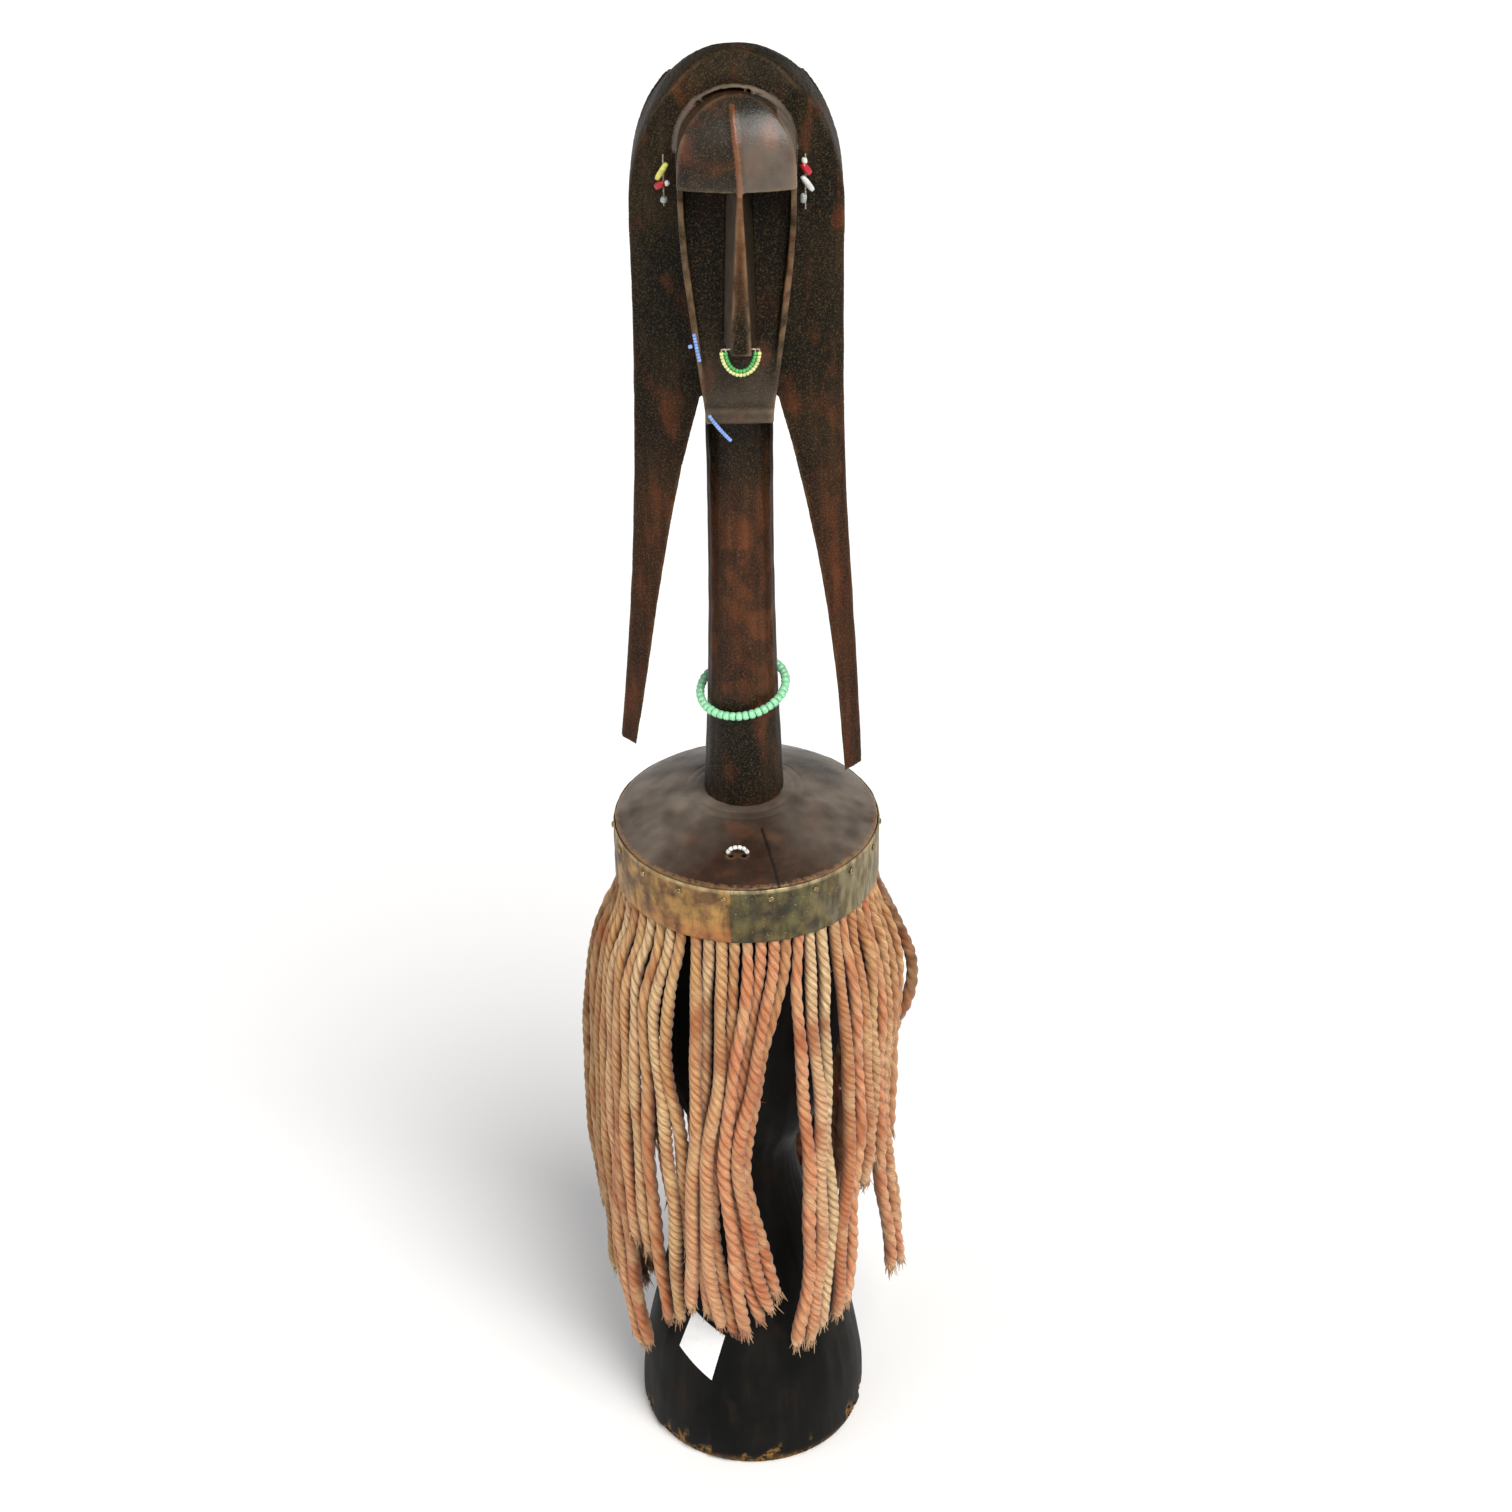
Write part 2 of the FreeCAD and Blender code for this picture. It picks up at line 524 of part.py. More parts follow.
# Every cord starts in the rebate, comes out below the band and then follows its own list of
# (angle, radius) at the levels below, as far as it reaches. The last entry is its cut end's
# (angle, radius, height). Lift moves its middle points up or down.
CORD_TOP = 332.0
CORD_OUT = 312.0
LEVELS = (289.0, 250.0, 207.0, 165.0, 125.0, 88.0)
FRONT_CORDS = [
    # number, angle at the band, lift, (angle, radius) at each level, (angle, radius, height) at the end
    (-15, -90, 0, [(-90, 69), (-90, 73), (-90, 75), (-90, 73)], (-90, 70, 124)),
    (-14, -84, 4, [(-84.5, 67), (-85, 70), (-85, 72), (-85, 71)], (-85.1, 69, 131)),
    (-13, -78, -3, [(-79, 66), (-79.5, 69), (-80, 70), (-80, 70), (-80.5, 68)], (-81, 66, 92)),
    (-12, -72, 2,
     [(-73.5, 65), (-74, 67), (-75, 69), (-75, 68), (-75.5, 66.5), (-76.5, 63)], (-74, 58, 57)),
    (-11, -66, -4,
     [(-68, 65), (-68.7, 67), (-69.8, 67), (-70.5, 66), (-70.5, 66), (-71.5, 63)], (-67, 58, 52)),
    (-10, -60, 3,
     [(-62.5, 64), (-63.4, 66), (-64.5, 66), (-65.5, 66), (-65.5, 64), (-66, 61)], (-62, 57, 56)),
    (-9, -54, -2, [(-57, 64), (-58, 65), (-59, 66), (-59, 66)], (-57.5, 63.5, 131)),
    (-8, -48, 3, [(-51.5, 63), (-53, 64), (-52.5, 65), (-51.5, 64)], (-51.5, 61.5, 126)),
    (-7, -42.2, -3, [(-46.5, 63), (-48, 63), (-46, 64), (-47, 63), (-45, 60.5)], (-44.5, 57, 86)),
    (-6, -36.4, 2, [(-40.5, 62.5), (-43, 62.5), (-36.5, 63.5), (-34, 63.5), (-35, 61.5)], (-36, 58.5, 92)),
    (-5, -30.7, -2, [(-35.5, 62), (-38, 61.5), (-30.5, 60.5), (-30, 59.5)], (-29, 59, 135)),
    (-4, -23.6, 3, [(-22.5, 62.5), (-21.5, 63), (-22.5, 65), (-25, 65), (-26, 63.5)], (-27, 62, 106)),
    (-3, -17.9, -1, [(-18, 58), (-20.5, 57.8), (-20.7, 60), (-22.5, 60), (-21.5, 60)], (-20, 60, 104)),
    (-2, -12, 1, [(-11, 62), (-12, 64), (-17, 65.6), (-19, 65.5), (-17, 65)], (-14, 62, 99)),
    (-1, -6, -2, [(-6.5, 58.5), (-10, 59), (-15.5, 60.5), (-17, 60.5), (-13.5, 60.5)], (-8.5, 59.5, 94)),
    (0, 0, 4, [(-1.5, 62.5), (-5.5, 64.8), (-11.5, 65.5), (-8.5, 65.5), (-6.5, 64.5)], (-3, 63, 95)),
    (1, 6, -3, [(3, 59), (-4, 59), (-9, 60.5), (-6, 60.5), (-2, 60)], (3.5, 59, 101)),
    (2, 12, 3, [(8, 62.5), (1.5, 65.2), (-5.5, 65.8), (-2.5, 65.5), (3, 65)], (7.5, 64, 112)),
    (3, 17.7, -9, [(10.5, 59), (2, 59.6), (-3.5, 60.8), (2.5, 60.5)], (11, 61, 117)),
    (4, 23.4, 2, [(19.5, 62.5), (21.5, 63), (23.5, 64.5), (25, 64.5), (25, 63.5)], (20.5, 60, 82)),
    (5, 29.1, -3, [(25, 62.5), (29, 64.5), (28.5, 65.5), (30, 65), (29.5, 64)], (26, 61, 84)),
    (6, 34.8, 4, [(34.5, 60), (34.5, 59.5), (34.5, 59.5), (37, 61.5), (36, 62)], (32, 60, 90)),
    (7, 42.4, -2, [(41.5, 62.5), (43.3, 63), (46, 64.5), (41, 64.5), (41.5, 63)], (41.5, 60, 90)),
    (8, 48.1, 3, [(47.5, 63), (48.6, 63.8), (51, 65), (47, 64.5), (46.5, 63.5)], (47, 61, 96)),
    (9, 54, -4, [(53.3, 63), (53.7, 64.8), (57, 65)], (57.5, 62.5, 163)),
    (10, 60, 2, [(59.5, 63.5), (59.4, 65), (62, 63.5)], (63.5, 62, 170)),
    (11, 66, -3, [(65.5, 64), (65.4, 65.5), (67.5, 63.5), (69.8, 64.5), (74, 67.5)], (77, 69, 92)),
    (12, 72, 3, [(71.5, 64.5), (71.3, 66), (73.3, 63.5), (76, 65), (80, 69)], (84, 71.5, 91)),
    (13, 78, -2, [(77.7, 65.5), (78, 67.5), (79.2, 63), (81, 61.5)], (85, 63, 131)),
    (14, 84, 3, [(84.3, 66), (84.6, 69), (85.1, 65)], (85.1, 66, 170)),
    (15, 90, 6, [(90, 66.5), (90, 78.3)], (90, 68, 232)),
]


def cord_points(start_angle, lift, stations, end):
    points = [around(start_angle, size("cord_ring_radius"), CORD_TOP)]
    points.append(around(start_angle, size("cord_ring_radius") + 0.6, CORD_OUT))
    for (angle, radius), level in zip(stations, LEVELS):
        points.append(around(angle, radius, level + lift))
    points.append(around(*end))
    return points


def mirrored(cord):
    """The same cord turned to the back of the skirt, for the side away from the face."""
    number, start, lift, stations, (end_angle, end_radius, end_z) = cord
    back_stations = [(180 - angle, radius) for angle, radius in stations]
    return (number, 180 - start, lift, back_stations, (180 - end_angle, end_radius, end_z))


BACK_CORDS = [mirrored(cord) for cord in FRONT_CORDS if abs(cord[0]) < 15]
LONG_BACK_NUMBERS = (-12, -11, -10, -7, 0, 4, 7, 11, 12)


def side_name(number):
    if number == 0:
        return "centre"
    return f"{'left' if number < 0 else 'right'}_{abs(number):02d}"


bend_radii = []


def cord_solid(label, cord):
    solid, length, radii = tube(cord_points(*cord[1:]), size("cord_diameter"))
    bend_radii.extend(radii)
    print(label, f"length {length:.0f}", "radii", " ".join(f"{r:.0f}" for r in radii))
    return solid


for cord in FRONT_CORDS:
    label = f"skirt_cord_front_{side_name(cord[0])}"
    add_solid(label, cord_solid(label, cord))

grouped = {"left": [], "right": []}
for cord in BACK_CORDS:
    label = f"skirt_cord_back_{side_name(cord[0])}"
    solid = cord_solid(label, cord)
    if cord[0] in LONG_BACK_NUMBERS:
        add_solid(label, solid)
        continue
    grouped["left" if cord[0] < 0 else "right"].append(solid)
for side, solids in grouped.items():
    add_solid(f"skirt_cords_back_{side}", Part.makeCompound(solids))
print(f"shortest bend radius {min(bend_radii):.1f}")


# Bead strings: every bead is a short tube on a thread.

def bead(centre, direction, diameter, length):
    """A bead with a hole for its thread, lying along a direction."""
    direction = V(direction)
    direction.normalize()
    foot = centre - direction * (length / 2)
    hole = size("thread_diameter") / 2 + 0.1
    body = Part.makeCylinder(diameter / 2, length, foot, direction)
    rounded = body.makeFillet(0.22 * diameter, [e for e in body.Edges if isinstance(e.Curve, Part.Circle)])
    return rounded.cut(Part.makeCylinder(hole, length, foot, direction))


def beads_on(edge, count, diameter, pitch_fill=0.94):
    """Beads spaced evenly along an edge or wire of one curve."""
    pitch = edge.Length / count
    solids = []
    for step in range(count):
        at = edge.getParameterByLength((step + 0.5) * pitch)
        solids.append(bead(edge.valueAt(at), edge.tangentAt(at), diameter, pitch * pitch_fill))
    return solids


def thread_along(edge_wire, start, direction):
    section = Part.Wire(Part.makeCircle(size("thread_diameter") / 2, start, direction))
    return edge_wire.makePipeShell([section], True, True)


# Neck string: a loose tilted loop that rests where the neck widens.
NECK_LOOP_RADIUS = 18.7
NECK_LOOP_Z = 412.0
NECK_LOOP_TILT = 15.0
NECK_LOOP_LOW_ANGLE = -40.0
NECK_BEADS = 42
low = around(NECK_LOOP_LOW_ANGLE, 1.0, 0)
tilt = math.radians(NECK_LOOP_TILT)
loop_axis = low * math.sin(tilt) + V(0, 0, math.cos(tilt))
loop_centre = V(HEAD_X, NECK_Y, NECK_LOOP_Z)
neck_loop = Part.makeCircle(NECK_LOOP_RADIUS, loop_centre, loop_axis)
neck_thread = Part.makeTorus(NECK_LOOP_RADIUS, size("thread_diameter") / 2, loop_centre, loop_axis)
add_solid("neck_thread", neck_thread)
add_solid("neck_beads", Part.makeCompound(beads_on(neck_loop, NECK_BEADS, size("neck_bead_diameter"))))

# Nose ring: a thread through the septum with an inner and an outer row of beads below the tip.
NOSE_LOOP_DROP = 1.1
NOSE_LOOP_STRETCH = 2.5
NOSE_ROWS = (("green", 5.7, 15), ("cream", 7.3, 19))


def nose_row(radius):
    """The lower half of an ellipse, a little deeper than it is wide."""
    centre = NOSE_HOLE - V(0, 0, NOSE_LOOP_DROP)
    lowest = centre - V(0, 0, radius + NOSE_LOOP_STRETCH)
    ellipse = Part.Ellipse(lowest, centre + V(radius, 0, 0), centre)
    return Part.ArcOfEllipse(ellipse, -math.pi / 2, math.pi / 2).toShape()


threads = []
for colour, radius, count in NOSE_ROWS:
    row = nose_row(radius)
    add_solid(f"nose_beads_{colour}", Part.makeCompound(beads_on(row, count, size("small_bead_diameter"))))
    left_end = NOSE_HOLE + V(-radius, 0, 0)
    right_end = NOSE_HOLE + V(radius, 0, 0)
    drop = V(0, 0, -NOSE_LOOP_DROP)
    path = Part.Wire([line(left_end, left_end + drop), row, line(right_end + drop, right_end)])
    threads.append(thread_along(path, left_end, V(0, 0, -1)))
outer_radius = NOSE_ROWS[-1][1]
bar = Part.makeCylinder(
    size("thread_diameter") / 2, 2 * outer_radius, NOSE_HOLE - V(outer_radius, 0, 0), V(1, 0, 0))
add_solid("nose_ring_thread", bar.fuse(threads))

# Ear drops: a stiff thread hooked into a hole in the coiffure, with odd beads on its hanging part.
EAR_DROP_Y = -15.2
EAR_THREAD_END = -7.0
EAR_BEADS = {
    "left": [(7.6, 2.4), (4.2, 3.2), (2.0, 2.2), (2.4, 3.0)],
    "right": [(2.0, 2.4), (5.2, 3.2), (7.2, 2.4), (3.6, 3.0)],
}
for side, hook_x in EAR_X.items():
    hook = V(hook_x, EAR_DROP_Y, EAR_Z)
    pin = Part.makeCylinder(
        size("thread_diameter") / 2, EAR_THREAD_END - EAR_DROP_Y, hook, V(0, 1, 0))
    reach = 1.5
    solids = []
    for length, diameter in EAR_BEADS[side]:
        solids.append(bead(hook - V(0, 0, reach + length / 2), V(0, 0, 1), diameter, length))
        reach += length + 0.15
    cord_end = Part.makeCylinder(size("thread_diameter") / 2, reach + 1.0, hook, V(0, 0, -1))
    elbow = Part.makeSphere(size("thread_diameter") / 2, hook)
    add_solid(f"{side}_ear_thread", pin.fuse([cord_end, elbow]))
    add_solid(f"{side}_ear_beads", Part.makeCompound(solids))

# Chin strand: beads on the left rim beside a small knot, and again where the thread leaves the lip.
CHIN_RUNS = (
    (9, [V(-17.9, -34.0, 596.3), V(-17.0, -34.5, 590.5), V(-15.9, -34.9, 584.8)]),
    (12, [V(-12.6, -37.7, 563.0), V(-9.0, -37.4, 556.8), V(-4.2, -34.5, 550.3)]),
)
chin_solids = [bead(V(-19.4, -33.8, 590.8), V(1, 0, 0.3), size("small_bead_diameter"), 1.6)]
for count, route in CHIN_RUNS:
    chin_solids += beads_on(spline(route), count, size("small_bead_diameter"))
add_solid("chin_bead_strand", Part.makeCompound(chin_solids))

# Chest loop: a little arch of white beads out of one hole in the disc and into another.
CHEST_BEADS = 6
dome_drop = dome_radius - math.sqrt(dome_radius ** 2 - CHEST.x ** 2 - CHEST.y ** 2)
chest_foot = V(CHEST.x, CHEST.y, DISC_TOP - dome_drop + 0.9)
chest_half = CHEST_HOLE_SPAN / 2
chest_arch = Part.Arc(chest_foot + V(-chest_half - 1.6, 0, 0), chest_foot + V(0, -0.8, 3.0),
                      chest_foot + V(chest_half + 1.6, 0, 0)).toShape()
add_solid("chest_bead_loop", Part.makeCompound(beads_on(chest_arch, CHEST_BEADS, 2.0, 0.84)))


doc.recompute()
for obj in doc.Objects:
    bad = {"Invalid", "Error"} & set(obj.State)
    if bad:
        raise RuntimeError(f"{obj.Name} is {bad}")
for obj in NODES:
    if obj.Shape.isNull() or not obj.Shape.isValid() or not obj.Shape.Solids:
        raise RuntimeError(f"{obj.Label} has no valid solid")
for obj in NODES:
    obj.Shape.exportStep(f"parts/{obj.Label}.step")
    box = obj.Shape.BoundBox
    spans = (box.XMin, box.XMax, box.YMin, box.YMax, box.ZMin, box.ZMax)
    print(f"{obj.Label:34s} solids {len(obj.Shape.Solids):3d} volume {obj.Shape.Volume:10.1f}",
          " ".join(f"{value:7.1f}" for value in spans))
print(len(NODES), "nodes")
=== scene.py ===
import math
import random

import bmesh
import bpy
import numpy as np
from mathutils import Matrix, Vector, noise


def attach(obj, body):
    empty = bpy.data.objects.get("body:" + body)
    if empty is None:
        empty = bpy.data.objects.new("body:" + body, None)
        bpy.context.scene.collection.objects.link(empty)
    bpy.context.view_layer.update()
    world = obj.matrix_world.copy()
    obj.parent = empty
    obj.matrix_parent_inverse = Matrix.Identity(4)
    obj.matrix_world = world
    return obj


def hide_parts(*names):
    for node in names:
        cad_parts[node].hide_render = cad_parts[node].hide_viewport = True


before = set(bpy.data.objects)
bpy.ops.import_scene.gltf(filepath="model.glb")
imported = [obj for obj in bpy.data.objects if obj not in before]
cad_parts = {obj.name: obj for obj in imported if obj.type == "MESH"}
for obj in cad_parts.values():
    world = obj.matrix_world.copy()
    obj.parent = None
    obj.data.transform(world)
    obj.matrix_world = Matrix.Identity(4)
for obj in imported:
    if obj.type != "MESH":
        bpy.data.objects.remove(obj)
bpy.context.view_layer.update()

# Carved ancestor figure. Metres, +Z up, the face looks along -Y. Angles round the figure are
# degrees from the front (-Y), positive towards +X.


def around(angle, radius, z):
    a = math.radians(angle)
    return Vector((radius * math.sin(a), -radius * math.cos(a), z))


# Camera: the photograph's angle, looking down on the figure, leaning a little to one side.

CAMERA_DISTANCE = 1.0897
CAMERA_HEIGHT = 1.0897
CAMERA_PITCH = 33.107
CAMERA_ROLL = -0.72
CAMERA_LENS = 71.1
CAMERA_SHIFT = 0.0069

camera_data = bpy.data.cameras.new("camera")
camera_data.sensor_width = 36.0
camera_data.lens = CAMERA_LENS
camera_data.shift_x = CAMERA_SHIFT
camera = bpy.data.objects.new("camera", camera_data)
camera.matrix_world = (
    Matrix.Translation((0, -CAMERA_DISTANCE, CAMERA_HEIGHT))
    @ Matrix.Rotation(math.radians(90 - CAMERA_PITCH), 4, "X")
    @ Matrix.Rotation(math.radians(CAMERA_ROLL), 4, "Z"))
bpy.context.scene.collection.objects.link(camera)
bpy.context.scene.camera = camera


# Node materials.

class Look:
    """A material under construction: a Principled shader fed by procedural nodes."""

    def __init__(self, name, **fixed):
        self.material = bpy.data.materials.new(name)
        self.material.use_nodes = True
        self.tree = self.material.node_tree
        self.shader = self.tree.nodes["Principled BSDF"]
        for socket, value in fixed.items():
            self.shader.inputs[socket.replace("_", " ")].default_value = value
        self.place = self.node("ShaderNodeTexCoord").outputs["Object"]

    def node(self, kind, settings=None, **inputs):
        made = self.tree.nodes.new(kind)
        for key, value in (settings or {}).items():
            setattr(made, key, value)
        for key, value in inputs.items():
            self.feed(made.inputs[key.replace("_", " ")], value)
        return made

    def feed(self, socket, value):
        if isinstance(value, bpy.types.NodeSocket):
            self.tree.links.new(value, socket)
        else:
            socket.default_value = value

    def noise(self, scale, detail=3.0, stretch=(1, 1, 1), place=None):
        where = self.node("ShaderNodeMapping", Vector=place or self.place, Scale=stretch)
        made = self.node("ShaderNodeTexNoise", Vector=where.outputs[0], Scale=scale, Detail=detail)
        return made.outputs["Fac"]

    def cells(self, scale, stretch=(1, 1, 1)):
        where = self.node("ShaderNodeMapping", Vector=self.place, Scale=stretch)
        made = self.node("ShaderNodeTexVoronoi", Vector=where.outputs[0], Scale=scale)
        return made.outputs["Distance"]

    def read(self, attribute):
        made = self.node("ShaderNodeAttribute", {"attribute_name": attribute})
        return made.outputs["Fac"]

    def read_colour(self, attribute):
        made = self.node("ShaderNodeAttribute", {"attribute_name": attribute})
        return made.outputs["Color"]

    def span(self, value, low, high, to_low=0.0, to_high=1.0):
        made = self.node("ShaderNodeMapRange", Value=value)
        for index, number in enumerate((low, high, to_low, to_high), start=1):
            made.inputs[index].default_value = number
        return made.outputs[0]

    def sum(self, kind, a, b):
        made = self.node("ShaderNodeMath", {"operation": kind})
        self.feed(made.inputs[0], a)
        self.feed(made.inputs[1], b)
        return made.outputs[0]

    def mix(self, share, a, b, kind="MIX"):
        made = self.node("ShaderNodeMix", {"data_type": "RGBA", "blend_type": kind})
        self.feed(made.inputs[0], share)
        self.feed(made.inputs[6], a)
        self.feed(made.inputs[7], b)
        return made.outputs[2]

    def relief(self, height, distance, strength):
        made = self.node("ShaderNodeBump", Height=height, Distance=distance, Strength=strength)
        return made.outputs[0]

    def finish(self, colour, roughness, normal=None):
        self.feed(self.shader.inputs["Base Color"], colour)
        self.feed(self.shader.inputs["Roughness"], roughness)
        if normal is not None:
            self.feed(self.shader.inputs["Normal"], normal)
        return self.material


def rgb(red, green, blue):
    """A linear colour from one given in 8-bit sRGB steps."""
    def linear(value):
        share = value / 255
        return share / 12.92 if share <= 0.04045 else ((share + 0.055) / 1.055) ** 2.4
    return (linear(red), linear(green), linear(blue), 1.0)


# Skirt cords: limp, loosely twisted cotton, each on its own route from the band down to its cut end.

CORD_DIAMETER = 0.0052
CORD_RING_RADIUS = 0.0546
CORD_TOP = 0.332
CORD_OUT = 0.312
BAND_BOTTOM = 0.321
LEVELS = (0.289, 0.250, 0.207, 0.165, 0.125, 0.088)
FRONT_CORDS = [
    # number, angle at the band, lift, (angle, radius) at each level, (angle, radius, height) at the end
    (-15, -90, 0, [(-90, 0.069), (-90, 0.073), (-90, 0.075), (-90, 0.073)], (-90, 0.07, 0.124)),
    (-14, -84, 0.004, [(-84.5, 0.067), (-85, 0.07), (-85, 0.072), (-85, 0.071)], (-85.1, 0.069, 0.131)),
    (-13, -78, -0.003,
     [(-79, 0.066), (-79.5, 0.069), (-80, 0.07), (-80, 0.07), (-80.5, 0.068)], (-81, 0.066, 0.092)),
    (-12, -72, 0.002,
     [(-73.5, 0.065), (-74, 0.067), (-75, 0.069), (-75, 0.068), (-75.5, 0.0665), (-76.5, 0.063)],
     (-74, 0.058, 0.057)),
    (-11, -66, -0.004,
     [(-68, 0.065), (-68.7, 0.067), (-69.8, 0.067), (-70.5, 0.066), (-70.5, 0.066), (-71.5, 0.063)],
     (-67, 0.058, 0.052)),
    (-10, -60, 0.003,
     [(-62.5, 0.064), (-63.4, 0.066), (-64.5, 0.066), (-65.5, 0.066), (-65.5, 0.064), (-66, 0.061)],
     (-62, 0.057, 0.056)),
    (-9, -54, -0.002, [(-57, 0.064), (-58, 0.065), (-59, 0.066), (-59, 0.066)], (-57.5, 0.0635, 0.131)),
    (-8, -48, 0.003,
     [(-51.5, 0.063), (-53, 0.064), (-52.5, 0.065), (-51.5, 0.064)], (-51.5, 0.0615, 0.126)),
    (-7, -42.2, -0.003,
     [(-46.5, 0.063), (-48, 0.063), (-46, 0.064), (-47, 0.063), (-45, 0.0605)], (-44.5, 0.057, 0.086)),
    (-6, -36.4, 0.002,
     [(-40.5, 0.0625), (-43, 0.0625), (-36.5, 0.0635), (-34, 0.0635), (-35, 0.0615)],
     (-36, 0.0585, 0.092)),
    (-5, -30.7, -0.002,
     [(-35.5, 0.062), (-38, 0.0615), (-30.5, 0.0605), (-30, 0.0595)], (-29, 0.059, 0.135)),
    (-4, -23.6, 0.003,
     [(-22.5, 0.0625), (-21.5, 0.063), (-22.5, 0.065), (-25, 0.065), (-26, 0.0635)], (-27, 0.062, 0.106)),
    (-3, -17.9, -0.001,
     [(-18, 0.058), (-20.5, 0.0578), (-20.7, 0.06), (-22.5, 0.06), (-21.5, 0.06)], (-20, 0.06, 0.104)),
    (-2, -12, 0.001,
     [(-11, 0.062), (-12, 0.064), (-17, 0.0656), (-19, 0.0655), (-17, 0.065)], (-14, 0.062, 0.099)),
    (-1, -6, -0.002,
     [(-6.5, 0.0585), (-10, 0.059), (-15.5, 0.0605), (-17, 0.0605), (-13.5, 0.0605)],
     (-8.5, 0.0595, 0.094)),
    (0, 0, 0.004,
     [(-1.5, 0.0625), (-5.5, 0.0648), (-11.5, 0.0655), (-8.5, 0.0655), (-6.5, 0.0645)],
     (-3, 0.063, 0.095)),
    (1, 6, -0.003,
     [(3, 0.059), (-4, 0.059), (-9, 0.0605), (-6, 0.0605), (-2, 0.06)], (3.5, 0.059, 0.101)),
    (2, 12, 0.003,
     [(8, 0.0625), (1.5, 0.0652), (-5.5, 0.0658), (-2.5, 0.0655), (3, 0.065)], (7.5, 0.064, 0.112)),
    (3, 17.7, -0.009, [(10.5, 0.059), (2, 0.0596), (-3.5, 0.0608), (2.5, 0.0605)], (11, 0.061, 0.117)),
    (4, 23.4, 0.002,
     [(19.5, 0.0625), (21.5, 0.063), (23.5, 0.0645), (25, 0.0645), (25, 0.0635)], (20.5, 0.06, 0.082)),
    (5, 29.1, -0.003,
     [(25, 0.0625), (29, 0.0645), (28.5, 0.0655), (30, 0.065), (29.5, 0.064)], (26, 0.061, 0.084)),
    (6, 34.8, 0.004,
     [(34.5, 0.06), (34.5, 0.0595), (34.5, 0.0595), (37, 0.0615), (36, 0.062)], (32, 0.06, 0.09)),
    (7, 42.4, -0.002,
     [(41.5, 0.0625), (43.3, 0.063), (46, 0.0645), (41, 0.0645), (41.5, 0.063)], (41.5, 0.06, 0.09)),
    (8, 48.1, 0.003,
     [(47.5, 0.063), (48.6, 0.0638), (51, 0.065), (47, 0.0645), (46.5, 0.0635)], (47, 0.061, 0.096)),
    (9, 54, -0.004, [(53.3, 0.063), (53.7, 0.0648), (57, 0.065)], (57.5, 0.0625, 0.163)),
    (10, 60, 0.002, [(59.5, 0.0635), (59.4, 0.065), (62, 0.0635)], (63.5, 0.062, 0.17)),
    (11, 66, -0.003,
     [(65.5, 0.064), (65.4, 0.0655), (67.5, 0.0635), (69.8, 0.0645), (74, 0.0675)], (77, 0.069, 0.092)),
    (12, 72, 0.003,
     [(71.5, 0.0645), (71.3, 0.066), (73.3, 0.0635), (76, 0.065), (80, 0.069)], (84, 0.0715, 0.091)),
    (13, 78, -0.002, [(77.7, 0.0655), (78, 0.0675), (79.2, 0.063), (81, 0.0615)], (85, 0.063, 0.131)),
    (14, 84, 0.003, [(84.3, 0.066), (84.6, 0.069), (85.1, 0.065)], (85.1, 0.066, 0.17)),
    (15, 90, 0.006, [(90, 0.0665), (90, 0.0783)], (90, 0.068, 0.232)),
]
LONG_BACK_NUMBERS = (-12, -11, -10, -7, 0, 4, 7, 11, 12)

OLIVE = rgb(138, 116, 68)
CREAM = rgb(248, 222, 170)
STRAW = rgb(230, 188, 124)
TAN = rgb(214, 160, 104)
SALMON = rgb(236, 160, 112)
RUST = rgb(206, 120, 74)
DARK = rgb(88, 68, 40)
TONES = {
    # number: tone at the band, tone at the end
    -15: (OLIVE, OLIVE), -14: (OLIVE, STRAW), -13: (STRAW, OLIVE), -12: (STRAW, TAN),
    -11: (CREAM, SALMON), -10: (STRAW, RUST), -9: (STRAW, SALMON), -8: (CREAM, TAN),
    -7: (STRAW, RUST), -6: (CREAM, STRAW), -5: (STRAW, TAN), -4: (STRAW, SALMON),
    -3: (CREAM, SALMON), -2: (STRAW, SALMON), -1: (TAN, RUST), 0: (SALMON, SALMON),
    1: (SALMON, SALMON), 2: (SALMON, RUST), 3: (TAN, RUST), 4: (SALMON, SALMON),
    5: (CREAM, SALMON), 6: (CREAM, CREAM), 7: (TAN, RUST), 8: (SALMON, SALMON),
    9: (TAN, SALMON), 10: (STRAW, TAN), 11: (SALMON, SALMON), 12: (STRAW, SALMON),
    13: (TAN, TAN), 14: (STRAW, RUST), 15: (DARK, DARK),
}

# Brown painted into the cords as shade: in the grooves between plies and on the sides that face
# neighbouring cords.
CORD_SHADE_BROWN = rgb(92, 46, 20)
PLY_RADIUS = 0.67
PLY_OFFSET = 0.33
SIDES = 18
TAPER_LENGTH = 0.008
PALE_TIP_LENGTH = 0.014
SWAY = 0.00055
FIBRES = 46
FIBRE_RADIUS = 0.00040
FIBRE_SIDES = 4
FIBRE_RINGS = 5
STRAYS = 5
STRAY_RADIUS = 0.00009


def cord_points(start_angle, lift, stations, end):
    points = [around(start_angle, CORD_RING_RADIUS, CORD_TOP)]
    points.append(around(start_angle, CORD_RING_RADIUS + 0.0006, CORD_OUT))
    for (angle, radius), level in zip(stations, LEVELS):
        points.append(around(angle, radius, level + lift))
    points.append(around(*end))
    return points


def mirrored(cord):
    """The same cord turned to the back of the skirt."""
    number, start, lift, stations, (end_angle, end_radius, end_z) = cord
    back_stations = [(180 - angle, radius) for angle, radius in stations]
    return (number, 180 - start, lift, back_stations, (180 - end_angle, end_radius, end_z))


